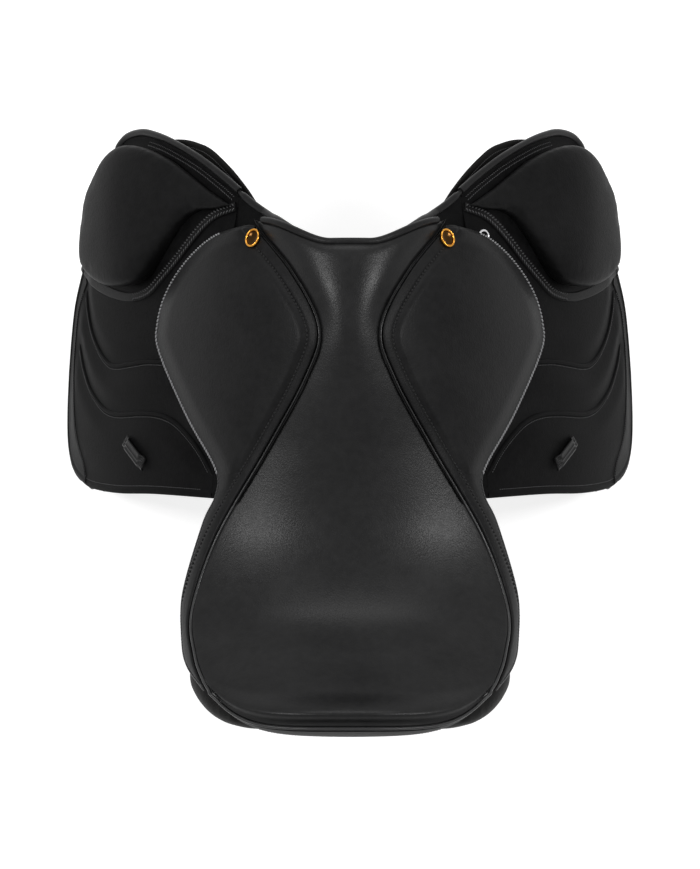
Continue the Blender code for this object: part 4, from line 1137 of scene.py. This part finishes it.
def sew_flap(name, flat, finish=dark_thread, out_by=0.0002, **size):
    line = side(*flat.T, flap_lift(*flat.T) + out_by)
    pair(stitches(name, line, side_out(flat[:, 0]), **size), "flap_body_right", finish)


# %% Wave ridges
for name, line in (("wave_ridge_front_right", wave_front), ("wave_ridge_rear_right", wave_rear)):
    places = side(*line.T, flap_lift(*line.T) - 0.0007)
    from_end = np.minimum(np.arange(120), np.arange(120)[::-1]) / 120
    thick = 0.2 + 0.8 * roll(from_end, 0.08)
    pair(rope(name, places, 0.0024 * thick, sides=4), "flap_body_right", flap_leather)
    sew_flap(name.replace("ridge", "stitches"), offset_line(line, -0.0034, 200)[4:-4], width=0.0007)

# %% [markdown]
# The rolled front edge is a cord under thin leather that runs from the pommel round to the knee
# block. Along the rear and lower edges the flap has a narrow stitched hem instead.

# %% Rolled edge and hems of the flap
EDGE_ROLL = 0.0033
ROLL_DEPTH = -0.0002
front_roll = spaced([flap_top[0]] + FLAP_FRONT[:7], 160)
share = np.arange(160) / 160
thick = 0.4 + 0.6 * roll(share[::-1], 0.05) * (0.9 + 0.1 * roll(share, 0.01))
roll_piece = rope("flap_front_roll_right", side(*front_roll.T, ROLL_DEPTH), EDGE_ROLL * thick, sides=5)
pair(roll_piece, "flap_body_right", edge_leather)

root_line = spaced([(0.0700, 0.2672), (0.0600, 0.2594), (0.0480, 0.2510), (0.0385, 0.2450)], 50)
POMMEL_LINE = [
    (0.0692, 0.2392, 0.1050), (0.0630, 0.2345, 0.1170), (0.0560, 0.2285, 0.1290), (0.0490, 0.2228, 0.1370),
]
climb = spaced(np.concatenate([side(*root_line.T, ROLL_DEPTH)[::7], POMMEL_LINE]), 90)
index = np.arange(90)
thick = mix(0.55, 1, ease(index / 9)) * (1 - 0.25 * ease((index - 50) / 35))
pair(rope("pommel_side_roll_right", climb, EDGE_ROLL * thick, sides=5), "saddle", edge_leather)

for name, by, slant in (
    ("flap_front_stitches_low_right", -0.0112, 24), ("flap_front_stitches_high_right", -0.0078, -24),
):
    row = offset_line(front_roll[1:112], by, 260)
    sew_flap(name, row, slant=slant, pitch=0.0028, length=0.0024, width=0.0009)
rear_hem = offset_line(rear_line[::-1][20:380], -0.0072, 300)
sew_flap("flap_rear_stitches_right", rear_hem, pitch=0.0027, length=0.0020, width=0.0008)

# %% [markdown]
# Along its outer edge the flap is faced with a second cut of leather, which is a little paler
# because it catches the light. It is a leaf between a curved inner line and the flap's own rim.

# %% Outer facing of the flap
FACING_INNER = [
    (0.3320, 0.0245), (0.3385, 0.0450), (0.3500, 0.0620), (0.3610, 0.0850), (0.3680, 0.1150),
    (0.3715, 0.1420), (0.3665, 0.1700), (0.3570, 0.1950), (0.3330, 0.2160),
]
facing_inner = spaced(FACING_INNER, 160)
facing_front = spaced([FACING_INNER[-1], FLAP_BOTTOM[0]], 20, False)
facing_rear = spaced([FACING_INNER[0], FLAP_BOTTOM[-1]], 20, False)
facing_patch = patch(facing_inner, bottom_line[::-1], facing_front, facing_rear)


def flap_face(distance, y):
    """Height of the flap's outer face."""
    share = roll(away(distance, y, flap_rim), FLAP_ROUND)
    return -FLAP_THICKNESS / 2 * (1 - share) + flap_lift(distance, y) * share


def flap_facing(u, v, level):
    flat = facing_patch(u, v)
    thick = 0.0010 * roll(away(*flat.T, facing_inner[::4]) + 0.0001, 0.0012)
    return side(*flat.T, flap_face(*flat.T) + 0.00005 + thick * level)


columns = joined(dense(0, 1, 18, (0,), 0.10, 8), 1 - np.array([0, 0.02, 0.05, 0.1]))
outer_band = leaf("flap_outer_facing_right", columns, np.linspace(0, 1, 130), flap_facing)
pair(outer_band, "flap_body_right", facing_leather)
facing_row = offset_line(facing_inner[4:-6], 0.0018, 260)
sew_flap("flap_facing_stitches_right", facing_row, out_by=0.0011, width=0.0006)

# %% [markdown]
# ## The knee blocks
#
# The knee block is a moulded foam teardrop under soft leather. Its wall bulges out past its foot,
# so that it throws a deep shadow, and its face is nearly flat. Rings of its outline, drawn in to a
# spine as they rise, give that form. A grid bent round into rings is the primitive behind it.

# %% Form of the knee block
BLOCK_OUTLINE = [
    (0.0715, 0.2560), (0.0985, 0.2720), (0.1245, 0.2900), (0.1540, 0.3095), (0.1840, 0.3225),
    (0.2050, 0.3280), (0.2230, 0.3285), (0.2440, 0.3215), (0.2620, 0.3070), (0.2775, 0.2920),
    (0.2865, 0.2690), (0.2920, 0.2430), (0.2890, 0.2255), (0.2710, 0.2115), (0.2440, 0.2000),
    (0.2170, 0.1955), (0.1980, 0.1965), (0.1860, 0.2030), (0.1700, 0.2170), (0.1530, 0.2325),
    (0.1340, 0.2475), (0.1140, 0.2535), (0.0900, 0.2535), (0.0715, 0.2560),
]
block_line = spaced(BLOCK_OUTLINE, 145)[:-1]
SPINE = np.array([(0.092, 0.2605), (0.230, 0.2600)])
BLOCK_LOW, BLOCK_HIGH = 0.009, 0.031
WALL_END, FACE_START = 0.30, 0.70


def block_ring(index, share, rise):
    outline = block_line[np.rint(index).astype(int) % len(block_line)]
    along = np.clip((outline[:, 0] - SPINE[0, 0]) / (SPINE[1, 0] - SPINE[0, 0]), 0, 1)
    spine = mix(SPINE[0], SPINE[1], along[:, None])
    flat = mix(spine, outline, share[:, None])
    return side(*flat.T, GAP + mix(BLOCK_LOW, BLOCK_HIGH, ease(along)) * rise)


def block_profile(v):
    """Share of the outline and share of the height, from the foot (v 0) over the wall to the face."""
    wall = np.clip(v / WALL_END, 0, 1)
    turn = np.clip((v - WALL_END) / 0.40, 0, 1) * np.pi / 2
    face = np.clip((v - FACE_START) / 0.30, 0, 1)
    share = np.where(v <= WALL_END, mix(0.945, 1.0, np.sin(wall * np.pi / 2)), 0.80 + 0.20 * np.cos(turn))
    share = np.where(v > FACE_START, mix(0.80, 0.0, face), share)
    rise = np.where(v <= WALL_END, 0.62 * wall, 0.62 + 0.30 * np.sin(turn))
    rise = np.where(v > FACE_START, 0.92 + 0.08 * (1 - (1 - face) ** 2), rise)
    return share, rise


# %% Closed forms and stuffing
def wrap(name, around, rows, place):
    """A grid whose first and last column meet, with its open end filled."""
    count = {"x_subdivisions": around, "y_subdivisions": len(rows) - 1}
    piece = add(bpy.ops.mesh.primitive_grid_add, name, size=2, **count)
    flat = coordinates(piece)
    put(piece, place((flat[:, 0] + 1) / 2 * around, steps_at(flat[:, 1], rows)))
    edit(
        tidy(piece), (bpy.ops.mesh.fill_holes, {"sides": 0}),
        (bpy.ops.mesh.normals_make_consistent, {"inside": False}),
    )
    bpy.ops.object.shade_smooth_by_angle(angle=math.radians(50))
    return piece


def swelled(piece, cap, frames=20):
    """Blow a closed form up by air pressure, with no point moved further than `cap`."""
    start = coordinates(piece)
    cloth = piece.modifiers.new("cloth", "CLOTH")
    cloth.settings.use_pressure = True
    cloth.settings.uniform_pressure_force = 4.0
    cloth.settings.effector_weights.gravity = 0
    for step in range(1, frames + 1):
        bpy.context.scene.frame_set(step)
    only(piece)
    bpy.ops.object.modifier_apply(modifier=cloth.name)
    bpy.context.scene.frame_set(1)
    moved = coordinates(piece) - start
    far = np.linalg.norm(moved, axis=1, keepdims=True)
    moved *= np.minimum(1, cap / np.maximum(far, 1e-9))
    put(piece, start + moved)
    most = float(np.linalg.norm(moved, axis=1).max())
    print(piece.name, "swelled by up to", round(most * 1000, 1), "mm")


def stuffed(piece, voxel, slim, cap):
    """Give a closed form the full, soft shape of a stuffed bag."""
    modify(piece, "REMESH", mode="VOXEL", voxel_size=voxel)
    modify(piece, "SMOOTH", factor=0.5, iterations=3)
    modify(piece, "DISPLACE", strength=-slim, mid_level=0.0)
    swelled(piece, cap)
    modify(piece, "SMOOTH", factor=0.5, iterations=4)
    modify(piece, "SUBSURF", levels=1, render_levels=1)
    only(piece)
    bpy.ops.object.shade_smooth()


# %% The block
def block_place(index, v):
    return block_ring(index, *block_profile(v))


block = wrap("knee_block_pad_right", len(block_line), np.linspace(0, 1, 49), block_place)
stuffed(block, voxel=0.0032, slim=0.0004, cap=0.0020)
pair(block, "flap_body_right", block_leather, "knee_block_right", fill=0.9)

# %% [markdown]
# A flat band frames the lower side of the block. It is sewn down with two rows of slanted
# stitches, and it hides the edge of the block's foot.

# %% Trim band round the block
BAND = [
    (0.0730, 0.2538), (0.0950, 0.2500), (0.1124, 0.2420), (0.1305, 0.2300), (0.1508, 0.2154),
    (0.1763, 0.2001), (0.1961, 0.1905), (0.2237, 0.1890), (0.2552, 0.1950), (0.2984, 0.2095),
    (0.3385, 0.2290), (0.3460, 0.2340),
]
BAND_WIDTH = 0.0088
BAND_SEAM = 0.0022
band_line = spaced(BAND, 200)


def band_leaf(u, v, level):
    index, marks = v * (len(band_line) - 1), np.arange(len(band_line))
    middle, beside = read_off(index, marks, band_line), read_off(index, marks, to_left(band_line))
    flat = middle + beside * ((u - 0.5) * BAND_WIDTH)[:, None]
    edge = roll(np.minimum(u, 1 - u) * 0.0095, 0.0011)
    thick = 0.0016 * edge + 0.0004 * np.sin(np.pi * u)
    return side(*flat.T, flap_lift(*flat.T) + 0.0001 + thick * level)


columns = [0, 0.03, 0.08, 0.16, 0.3, 0.5, 0.7, 0.84, 0.92, 0.97, 1]
pair(leaf("block_band_right", columns, np.linspace(0, 1, 150), band_leaf), "flap_body_right", block_leather)
for name, by, slant in (
    ("band_stitches_inner_right", BAND_SEAM, 38), ("band_stitches_outer_right", -BAND_SEAM, -38),
):
    row = offset_line(band_line[:112], by, 200)
    sew_flap(name, row, out_by=0.0021, pitch=0.0036, length=0.0034, width=0.0013, slant=slant)
    # The holes are near-black grains laid on the band: painted shade of the needle holes.
    holes = offset_line(band_line[:112], by * 1.55, 200)[1:]
    size = {"pitch": 0.0036, "length": 0.0014, "width": 0.0014}
    sew_flap(name.replace("stitches", "holes"), holes, needle_black, 0.0020, **size)

# %% [markdown]
# ## Keeper, nails and dee
#
# The keeper is a short strap on the flap for the end of a stirrup leather. It is sewn down at both
# ends and stands off the flap between them. Two beads are pressed along it.

# %% Keeper
def side_frame(distance, y, out, turn=0.0):
    """Local X down the leather, Y forward and Z out of the saddle's side."""
    slope = SIDE_TOP_SLOPE + distance / SIDE_RADIUS
    down = Vector((math.cos(slope), 0, -math.sin(slope)))
    outward = Vector((math.sin(slope), 0, math.cos(slope)))
    axes = Matrix((down, (0, 1, 0), outward)).transposed().to_4x4()
    place = Vector(side(np.array(distance), np.array(y), np.array(out)))
    return Matrix.Translation(place) @ axes @ Matrix.Rotation(turn, 4, "Z")


def into(frame_matrix, local):
    """Places in a local frame, given in the saddle's frame."""
    return local @ frame_matrix[:3, :3].T + frame_matrix[:3, 3]


KEEPER_LENGTH, KEEPER_WIDTH, KEEPER_SLANT = 0.0425, 0.0125, 0.16
KEEPER_THICKNESS, KEEPER_RISE = 0.0022, 0.0026
keeper_frame = np.array(side_frame(0.2165, 0.0434, 0.0006, math.radians(37)))
keeper_ground = float(flap_lift(np.array([0.2175]), np.array([0.0436]))[0])


def keeper_leaf(u, v, level):
    along, beside = (v - 0.5) * KEEPER_LENGTH, (u - 0.5) * KEEPER_WIDTH
    rise = KEEPER_RISE * ease((0.5 - np.abs(v - 0.5) - 0.09) / 0.10) * mix(0.55, 1.0, u)
    from_edge = np.minimum(np.minimum(u, 1 - u) * KEEPER_WIDTH, np.minimum(v, 1 - v) * 0.044)
    edge = roll(from_edge, 0.0010)
    beads = 0.0008 * (np.exp(-((u - 0.20) / 0.07) ** 2) + np.exp(-((u - 0.52) / 0.07) ** 2))
    middle = keeper_ground + rise + KEEPER_THICKNESS / 2
    up = middle + (level - 0.5) * KEEPER_THICKNESS * edge + beads * level * edge
    return into(keeper_frame, np.stack([along + beside * KEEPER_SLANT * (0.5 - v) * 2, beside, up], axis=-1))


columns, rows = dense(0, 1, 22, (0, 1), 0.06, 4), dense(0, 1, 40, (0, 1), 0.02, 4)
strap = leaf("keeper_strap_right", columns, rows, keeper_leaf)
pair(strap, "flap_body_right", edge_leather, "keeper_right")
beside = np.linspace(-0.0052, 0.0052, 12)
out = np.tile(keeper_frame[:3, 2], (12, 1))
for which, end in (("low", -0.0188), ("mid", -0.0168), ("high", 0.0188)):
    along = end + beside * KEEPER_SLANT * -np.sign(end)
    line = into(keeper_frame, np.stack([along, beside, np.full(12, keeper_ground + 0.0028)], axis=1))
    row = stitches(f"keeper_stitches_{which}_right", line, out, pitch=0.0019, length=0.0015, width=0.0006)
    pair(row, "flap_body_right", dark_thread)

# %% [markdown]
# The saddle nails hold the skirt's front corner to the point of the tree. Each is an oval gilt
# dish. Half its section is drawn as a row of edges and spun round by the Spin operator.

# %% Saddle nails
NAIL_X, NAIL_Y = 0.0836, 0.2182
NAIL_SECTION = [
    (0.0, 0.0002), (0.0040, 0.0003), (0.0058, 0.0006), (0.0063, 0.0014), (0.0066, 0.0024),
    (0.0070, 0.0031), (0.0075, 0.0033), (0.0081, 0.0031), (0.0085, 0.0025), (0.0087, 0.0016),
    (0.0086, 0.0007), (0.0082, 0.0001), (0.0074, 0.0), (0.0040, 0.0), (0.0, 0.0),
]
OVAL = (0.0072 / 0.0087, 1, 1)
DISH_RADIUS = 0.0064
nail_place = Vector(skirt_skin(NAIL_X, NAIL_Y, SKIRT_THICKNESS / 2 + GAP))
nail_turn = Vector(skirt_out(np.array(NAIL_X), np.array(NAIL_Y))).to_track_quat("Z", "X").to_matrix()
nail_frame = np.array(Matrix.Translation(nail_place) @ nail_turn.to_4x4())

count = {"x_subdivisions": len(NAIL_SECTION) - 1, "y_subdivisions": 1}
nail = add(bpy.ops.mesh.primitive_grid_add, "saddle_nail_head_right", size=2, **count)
bpy.ops.object.mode_set(mode="EDIT")
bpy.ops.mesh.select_all(action="DESELECT")
bpy.ops.object.mode_set(mode="OBJECT")
for vertex in nail.data.vertices:
    vertex.select = vertex.co.y > 0
bpy.ops.object.mode_set(mode="EDIT")
bpy.ops.mesh.delete(type="VERT")
bpy.ops.object.mode_set(mode="OBJECT")
section = np.zeros((len(NAIL_SECTION), 3))
section[np.argsort(coordinates(nail)[:, 0])] = [(x, 0, z) for x, z in NAIL_SECTION]
put(nail, section)
full_turn = {"steps": 48, "angle": 2 * math.pi, "center": (0, 0, 0), "axis": (0, 0, 1)}
edit(nail, (bpy.ops.mesh.spin, full_turn))
tidy(nail, merge=0.00002, angle=60)
put(nail, into(nail_frame, coordinates(nail) * OVAL))
pair(nail, "saddle", brass, "saddle_nail_right", slot="gold")

# The inner dish is near-black. This is a painted reflection of the dark surroundings in the hollow of the
# nail.
circle = {"vertices": 40, "radius": DISH_RADIUS, "fill_type": "TRIFAN"}
dish = add(bpy.ops.mesh.primitive_circle_add, "saddle_nail_dish_right", **circle)
modify(dish, "SUBSURF", subdivision_type="SIMPLE", levels=3, render_levels=3)
flat = coordinates(dish)
flat[:, 2] = 0.0006 + 0.0012 * (np.hypot(flat[:, 0], flat[:, 1]) / DISH_RADIUS) ** 2
put(dish, into(nail_frame, flat * OVAL))
tidy(dish, angle=80)
modify(dish, "SOLIDIFY", thickness=0.0003, offset=0)
pair(dish, "saddle", dish_painted_reflection, slot="gold")

# %% [markdown]
# The dee is a bent steel wire that lies on the right flap, and its chape is a folded tab of
# leather that its straight bar turns in. A breastplate strap clips to it.

# %% Dee and chape
WIRE = 0.00125
DEE_LENGTH, DEE_WIDTH = 0.0165, 0.0140
CHAPE_THICKNESS, CHAPE_TAIL = 0.0012, 0.0088
dee_frame = np.array(side_frame(0.0884, 0.2214, GAP, math.radians(45)))
dee_centre = CHAPE_THICKNESS + GAP + WIRE
half = DEE_WIDTH / 2 - WIRE
angles = np.linspace(0, np.pi, 33)
bow = [DEE_LENGTH - half + half * np.sin(angles), half * np.cos(angles), 0 * angles + dee_centre]
bar = [np.zeros(9), np.linspace(-half, half, 9), np.full(9, dee_centre)]
loop = np.concatenate([np.stack(bar, axis=1), np.stack(bow, axis=1)])
dee = rope("dee_ring", into(dee_frame, loop), WIRE, closed=True, sides=5)
dress(dee, "dee_body", steel, "dee", slot="steel")


def chape_leaf(u, v, level):
    """A tab folded over the bar: v runs from the lower end round the bar to the upper end."""
    inner = WIRE + GAP
    turn = np.clip((v - 0.35) / 0.30, 0, 1) * np.pi - np.pi / 2
    radius = inner + CHAPE_THICKNESS * level
    straight = np.where(v < 0.35, 1 - v / 0.35, np.where(v > 0.65, (v - 0.65) / 0.35, 0))
    x = radius * np.cos(turn) - CHAPE_TAIL * straight
    closing = ease(np.abs(v - 0.5) / 0.5 * 2 - 0.7) * (inner - GAP / 2)
    z = dee_centre + radius * np.sin(turn) - closing * np.sin(turn)
    width = DEE_WIDTH - 4 * WIRE - 2 * GAP
    return into(dee_frame, np.stack([x, (u - 0.5) * width, np.maximum(z, 0.0)], axis=-1))


chape = leaf("dee_chape_tab", [0, 0.04, 0.12, 0.5, 0.88, 0.96, 1], np.linspace(0, 1, 41), chape_leaf)
dress(chape, "flap_body_right", edge_leather, "dee_chape")

# %% [markdown]
# ## Under the flap
#
# The sweat flap keeps the girth straps off the horse. Three straps on each side hang from a web
# anchor, with a row of punched holes, and a guard lies between their buckles and the flap.

# %% Sweat flap
GUARD_THICKNESS, GUARD_ROOM, BILLET_THICKNESS, BILLET_ROOM = 0.0016, 0.0010, 0.0035, 0.0010
BILLET_LEVEL = -FLAP_THICKNESS - GAP - GUARD_THICKNESS - GUARD_ROOM
SWEAT_LEVEL = BILLET_LEVEL - BILLET_THICKNESS - BILLET_ROOM
SWEAT_THICKNESS = 0.0030
sweat_front = spaced([
    (0.0560, 0.2520), (0.0722, 0.2720), (0.0945, 0.2940), (0.1208, 0.3140), (0.1430, 0.3237),
    (0.1645, 0.3295), (0.1900, 0.3320), (0.2200, 0.3300), (0.2580, 0.3120), (0.3060, 0.2620),
    (0.3400, 0.2150),
], 300)
sweat_bottom = spaced([
    (0.3420, 0.0400), (0.3700, 0.0700), (0.3760, 0.1200), (0.3660, 0.1750), (0.3400, 0.2150),
], 300)
sweat_rear = spaced([(0.0900, 0.0200), (0.2620, 0.0250), (0.3420, 0.0400)], 300)
sweat_top = spaced([(0.0900, 0.0200), (0.0900, 0.2275), (0.0560, 0.2275), (0.0560, 0.2520)], 120, False)
sweat_patch = patch(sweat_top, sweat_bottom, sweat_front, sweat_rear)
sweat_rim = np.concatenate([sweat_front, sweat_bottom[::-1], sweat_rear[::-1]])[::8]


def sweat_leaf(u, v, level):
    flat = sweat_patch(u, v)
    from_rim = away(*flat.T, sweat_rim)
    groove = 0.0005 * np.exp(-((from_rim - 0.006) / 0.0014) ** 2) * level
    half = (level - 0.5) * SWEAT_THICKNESS * roll(from_rim, 0.0015)
    return side(*flat.T, SWEAT_LEVEL - SWEAT_THICKNESS / 2 + half - groove)


sweat = leaf("sweat_flap_skin_right", *cut_grid(60), sweat_leaf)
pair(sweat, "saddle", lining_leather, "sweat_flap_right", slot="lining_leather")
hem = offset_line(np.concatenate([sweat_front[20:], sweat_bottom[::-1]]), -0.006, 500)
row = stitches("sweat_stitches_right", side(*hem.T, SWEAT_LEVEL - 0.0001), side_out(hem[:, 0]))
pair(row, "saddle", dark_thread, slot="lining_leather")

# %% [markdown]
# A girth strap is a thick strip with a blunt point. One Boolean against a row of cylinders cuts all
# of its holes. The web anchor and the guard are flat cuts with rounded corners.

# %% Girth straps
BILLET_TOP, BILLET_END, BILLET_WIDTH = 0.116, 0.352, 0.025
STRAP_LINE = (0.122, 0.338)
HOLE_COUNT, HOLE_PITCH, HOLE_FROM_END, HOLE_RADIUS = 6, 0.022, 0.030, 0.0022


def strap_leaf(centre):
    def place(u, v, level):
        distance = mix(BILLET_TOP, BILLET_END, v)
        to_end = BILLET_END - distance
        taper = mix(0.42, 1, np.sqrt(np.clip(to_end / 0.012, 0, 1)))
        half = BILLET_WIDTH / 2 * np.where(to_end < 0.012, taper, 1)
        beside = np.minimum(u, 1 - u) * 2 * half
        rim = np.minimum(beside, np.minimum(to_end, distance - BILLET_TOP))
        crease = 0.0004 * np.exp(-((beside - 0.0026) / 0.0006) ** 2) * level
        thick = (level - 0.5) * BILLET_THICKNESS * roll(rim, 0.0013)
        y = centre + (2 * u - 1) * half
        return side(distance, y, BILLET_LEVEL - BILLET_THICKNESS / 2 + thick - crease)
    return place


def punch(piece, centre):
    """Cut the row of holes through a strap."""
    cutters = []
    for index in range(HOLE_COUNT):
        cylinder = {"vertices": 20, "radius": HOLE_RADIUS, "depth": 0.012}
        cutter = add(bpy.ops.mesh.primitive_cylinder_add, "strap_hole", **cylinder)
        distance = BILLET_END - HOLE_FROM_END - HOLE_PITCH * index
        cutter.data.transform(side_frame(distance, centre, BILLET_LEVEL - BILLET_THICKNESS / 2))
        cutters.append(cutter)
    for cutter in cutters:
        cutter.select_set(True)
    bpy.context.view_layer.objects.active = cutters[0]
    bpy.ops.object.join()
    cutter = bpy.context.object
    modify(piece, "BOOLEAN", operation="DIFFERENCE", object=cutter, solver="EXACT")
    bpy.data.objects.remove(cutter)
    return tidy(piece)


STRAP_COLUMNS = [0, 0.01, 0.03, 0.06, 0.09, 0.11, 0.14, 0.3, 0.5, 0.7, 0.86, 0.89, 0.91, 0.94, 0.97, 0.99, 1]
for which, centre in (("front", 0.124), ("middle", 0.078), ("rear", 0.032)):
    body = f"billet_body_{which}_right"
    rows = dense(0, 1, 70, (0, 1), 0.05, 8)
    strip = leaf(f"girth_strap_{which}_right", STRAP_COLUMNS, rows, strap_leaf(centre))
    pair(punch(strip, centre), body, edge_leather, f"billet_{which}_right")
    distance = np.linspace(*STRAP_LINE, 120)
    for where, edge in (("inner", -1), ("outer", 1)):
        line = side(distance, centre + edge * (BILLET_WIDTH / 2 - 0.0040), BILLET_LEVEL + 0.0001)
        name = f"strap_{which}_{where}_stitches_right"
        pair(stitches(name, line, side_out(distance), pitch=0.0032, length=0.0024), body, grey_thread)


# %% Anchor and buckle guard
def plate_leaf(low, high, back, front, level_top, thickness, corner, radius):
    """A flat cut with rounded corners on the saddle's side."""
    def place(u, v, level):
        distance, y = mix(low, high, u), mix(back, front, v)
        cu, cv = np.minimum(u, 1 - u) * (high - low), np.minimum(v, 1 - v) * (front - back)
        round_off = corner - np.sqrt(np.maximum(corner ** 2 - (corner - cu) ** 2, 0))
        squeeze = np.where(cu < corner, round_off, 0) * np.clip(1 - cv / corner / 3, 0, 1)
        y = y + np.where(v < 0.5, 1, -1) * squeeze
        edge = roll(np.minimum(cu, np.maximum(cv, 0)), radius)
        return side(distance, y, level_top - thickness / 2 + (level - 0.5) * thickness * edge)
    return place


grid = dense(0, 1, 40, (0, 1), 0.06, 8)
plate = plate_leaf(0.212, 0.311, 0.014, 0.146, -FLAP_THICKNESS - GAP, GUARD_THICKNESS, 0.014, 0.0008)
pair(leaf("buckle_guard_flap_right", grid, grid, plate), "saddle", flap_leather, "buckle_guard_right")
rows = dense(0, 1, 60, (0, 1), 0.02, 3)
plate = plate_leaf(0.0905, BILLET_TOP - 3 * GAP, 0.012, 0.144, BILLET_LEVEL, BILLET_THICKNESS, 0.0001, 0.0008)
anchor = leaf("girth_anchor_web_right", np.linspace(0, 1, 14), rows, plate)
pair(anchor, "saddle", linen_web, "girth_anchor_right", slot="webbing")

# %% [markdown]
# ## The panels
#
# The panels are two long leather cushions, stuffed with wool, that rest beside the spine. A copy
# of the solid is merged, smoothed and blown up slightly by a cloth simulation with air pressure,
# which gives the full, pulled-in look of a stuffed bag. Beside the skirt its side is held in, so
# that it stays out of sight there, and its rear corner is drawn out to where the photo shows it.

# %% Panels
WAIST_REAR, WAIST_FRONT = -0.110, 0.030
UNDER_SKIRT = 0.0035
CORNER_START, CORNER_OUT = -0.150, 0.005

panel = link("panel_cushion_right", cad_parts["panel_right"].data.copy())
panel.data.name = panel.name
sixty = math.radians(60)
edit(
    panel, (bpy.ops.mesh.remove_doubles, {"threshold": 0.00001}),
    (bpy.ops.mesh.tris_convert_to_quads, {"face_threshold": sixty, "shape_threshold": sixty}),
)
modify(panel, "SUBSURF", levels=2, render_levels=2)
stuffed(panel, voxel=0.0050, slim=-0.0006, cap=0.0040)
places = coordinates(panel)
x, y = places[:, 0], places[:, 1]
room = ease((y - WAIST_REAR) / 0.030) * ease((WAIST_FRONT - y) / 0.020)
limit = skirt_edge(y)[0] - UNDER_SKIRT
x = np.where(x > limit, mix(x, limit, room), x)
places[:, 0] = x + CORNER_OUT * ease((CORNER_START - y) / 0.025) * np.clip((x - 0.05) / 0.05, 0, 1)
put(panel, places)
pair(panel, "saddle", lining_leather, "panel_right", slot="lining_leather", fill=0.75)

# %% [markdown]
# ## Solids that keep their shape
#
# The tree, its points, the head plate and the stirrup bars with their catches are hard parts whose
# solid is already right. They stay, and only their material changes. The root of each flap is a
# plain cut of leather under the skirt.

# %% Finishes of the kept solids
KEPT = {"head_plate": painted_steel, "tree": beech}
for part, finish in (
    ("tree_point", beech), ("stirrup_bar", steel), ("bar_catch", steel), ("flap_root", flap_leather),
):
    KEPT[part + "_right"] = KEPT[part + "_left"] = finish
for node, finish in KEPT.items():
    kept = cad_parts[node]
    kept.data.materials.clear()
    kept.data.materials.append(finish)
print("kept solids:", ", ".join(KEPT))

# %% [markdown]
# ## Studio
#
# The photograph looks down on the saddle, from a little behind it, against plain white. The floor
# lies under the flaps. It looks white to the camera and to reflections, and still takes a soft
# shadow. A lamp on each side draws a soft light on the seat's waist, and a third one, wide and
# weak, lights the pommel from the front.

# %% Floor and world
FLOOR_GAP, FLOOR_GLOW = 0.001, 0.74
SKY_LIGHT = 0.38
WHITE_TO = ("Is Camera Ray", "Is Glossy Ray", "Is Transmission Ray")
low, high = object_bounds()
floor = add(bpy.ops.mesh.primitive_plane_add, "studio_floor", size=14, location=(0, 0, low[2] - FLOOR_GAP))
ground = Finish("studio_white", (0.55, 0.55, 0.55), 0.9, specular=0.0)
rays = ground.node("ShaderNodeLightPath", {}).output.node.outputs
camera_ray, glossy_ray, clear_ray = (Socket(ground, rays[name]) for name in WHITE_TO)
strength = (camera_ray + glossy_ray + clear_ray).clamp() * FLOOR_GLOW
glow = ground.node("ShaderNodeEmission", {}, Color=(1, 1, 1, 1), Strength=strength, output="Emission")
lit = Socket(ground, ground.shader.outputs["BSDF"])
total = ground.node("ShaderNodeAddShader", {}, lit, glow, output="Shader")
ground.tree.links.new(total.output, ground.tree.nodes["Material Output"].inputs["Surface"])
floor.data.materials.append(ground.material)

world = bpy.data.worlds.new("studio")
bpy.context.scene.world = world
world.use_nodes = True
sky = world.node_tree
light_path = sky.nodes.new("ShaderNodeLightPath")
level = sky.nodes.new("ShaderNodeMath")
level.operation = "MULTIPLY_ADD"
level.inputs[1].default_value = 1 - SKY_LIGHT
level.inputs[2].default_value = SKY_LIGHT
seen = light_path.outputs[WHITE_TO[0]]
for ray in WHITE_TO[1:]:
    either = sky.nodes.new("ShaderNodeMath")
    either.operation = "MAXIMUM"
    sky.links.new(seen, either.inputs[0])
    sky.links.new(light_path.outputs[ray], either.inputs[1])
    seen = either.outputs[0]
sky.links.new(seen, level.inputs[0])
sky.nodes["Background"].inputs["Color"].default_value = (1, 1, 1, 1)
sky.links.new(level.outputs[0], sky.nodes["Background"].inputs["Strength"])


# %% Lamps and camera
def lamp(name, place, target, size, watts):
    data = bpy.data.lights.new(name, "AREA")
    data.shape, data.energy = "RECTANGLE", watts
    data.size, data.size_y = size
    piece = link(name, data)
    piece.location = place
    piece.rotation_euler = (Vector(target) - Vector(place)).to_track_quat("-Z", "Y").to_euler()


SEAT_MIDDLE = (0, 0.05, 0.05)
lamp("lamp_left", (-1.36, 0.28, 1.80), SEAT_MIDDLE, (0.34, 0.8), 22)
lamp("lamp_right", (1.36, 0.28, 1.80), SEAT_MIDDLE, (0.34, 0.8), 22)
lamp("lamp_front", (0, 2.0, 1.7), SEAT_MIDDLE, (1.8, 0.6), 18)

CAMERA_DISTANCE, SENSOR = 3.0, 36
METRES_PER_PIXEL, PHOTO_HEIGHT = 0.00088, 869
camera = link("camera", bpy.data.cameras.new("camera"))
aim, elevation = Vector((0, 0.046, 0.100)), math.radians(84)
camera.location = aim + Vector((0, -math.cos(elevation), math.sin(elevation))) * CAMERA_DISTANCE
camera.rotation_euler = (math.radians(90) - elevation, 0, 0)
camera.data.sensor_fit = "VERTICAL"
camera.data.sensor_height = SENSOR
camera.data.lens = SENSOR * CAMERA_DISTANCE / METRES_PER_PIXEL / PHOTO_HEIGHT
bpy.context.scene.camera = camera
bpy.context.scene.view_settings.view_transform = "Standard"
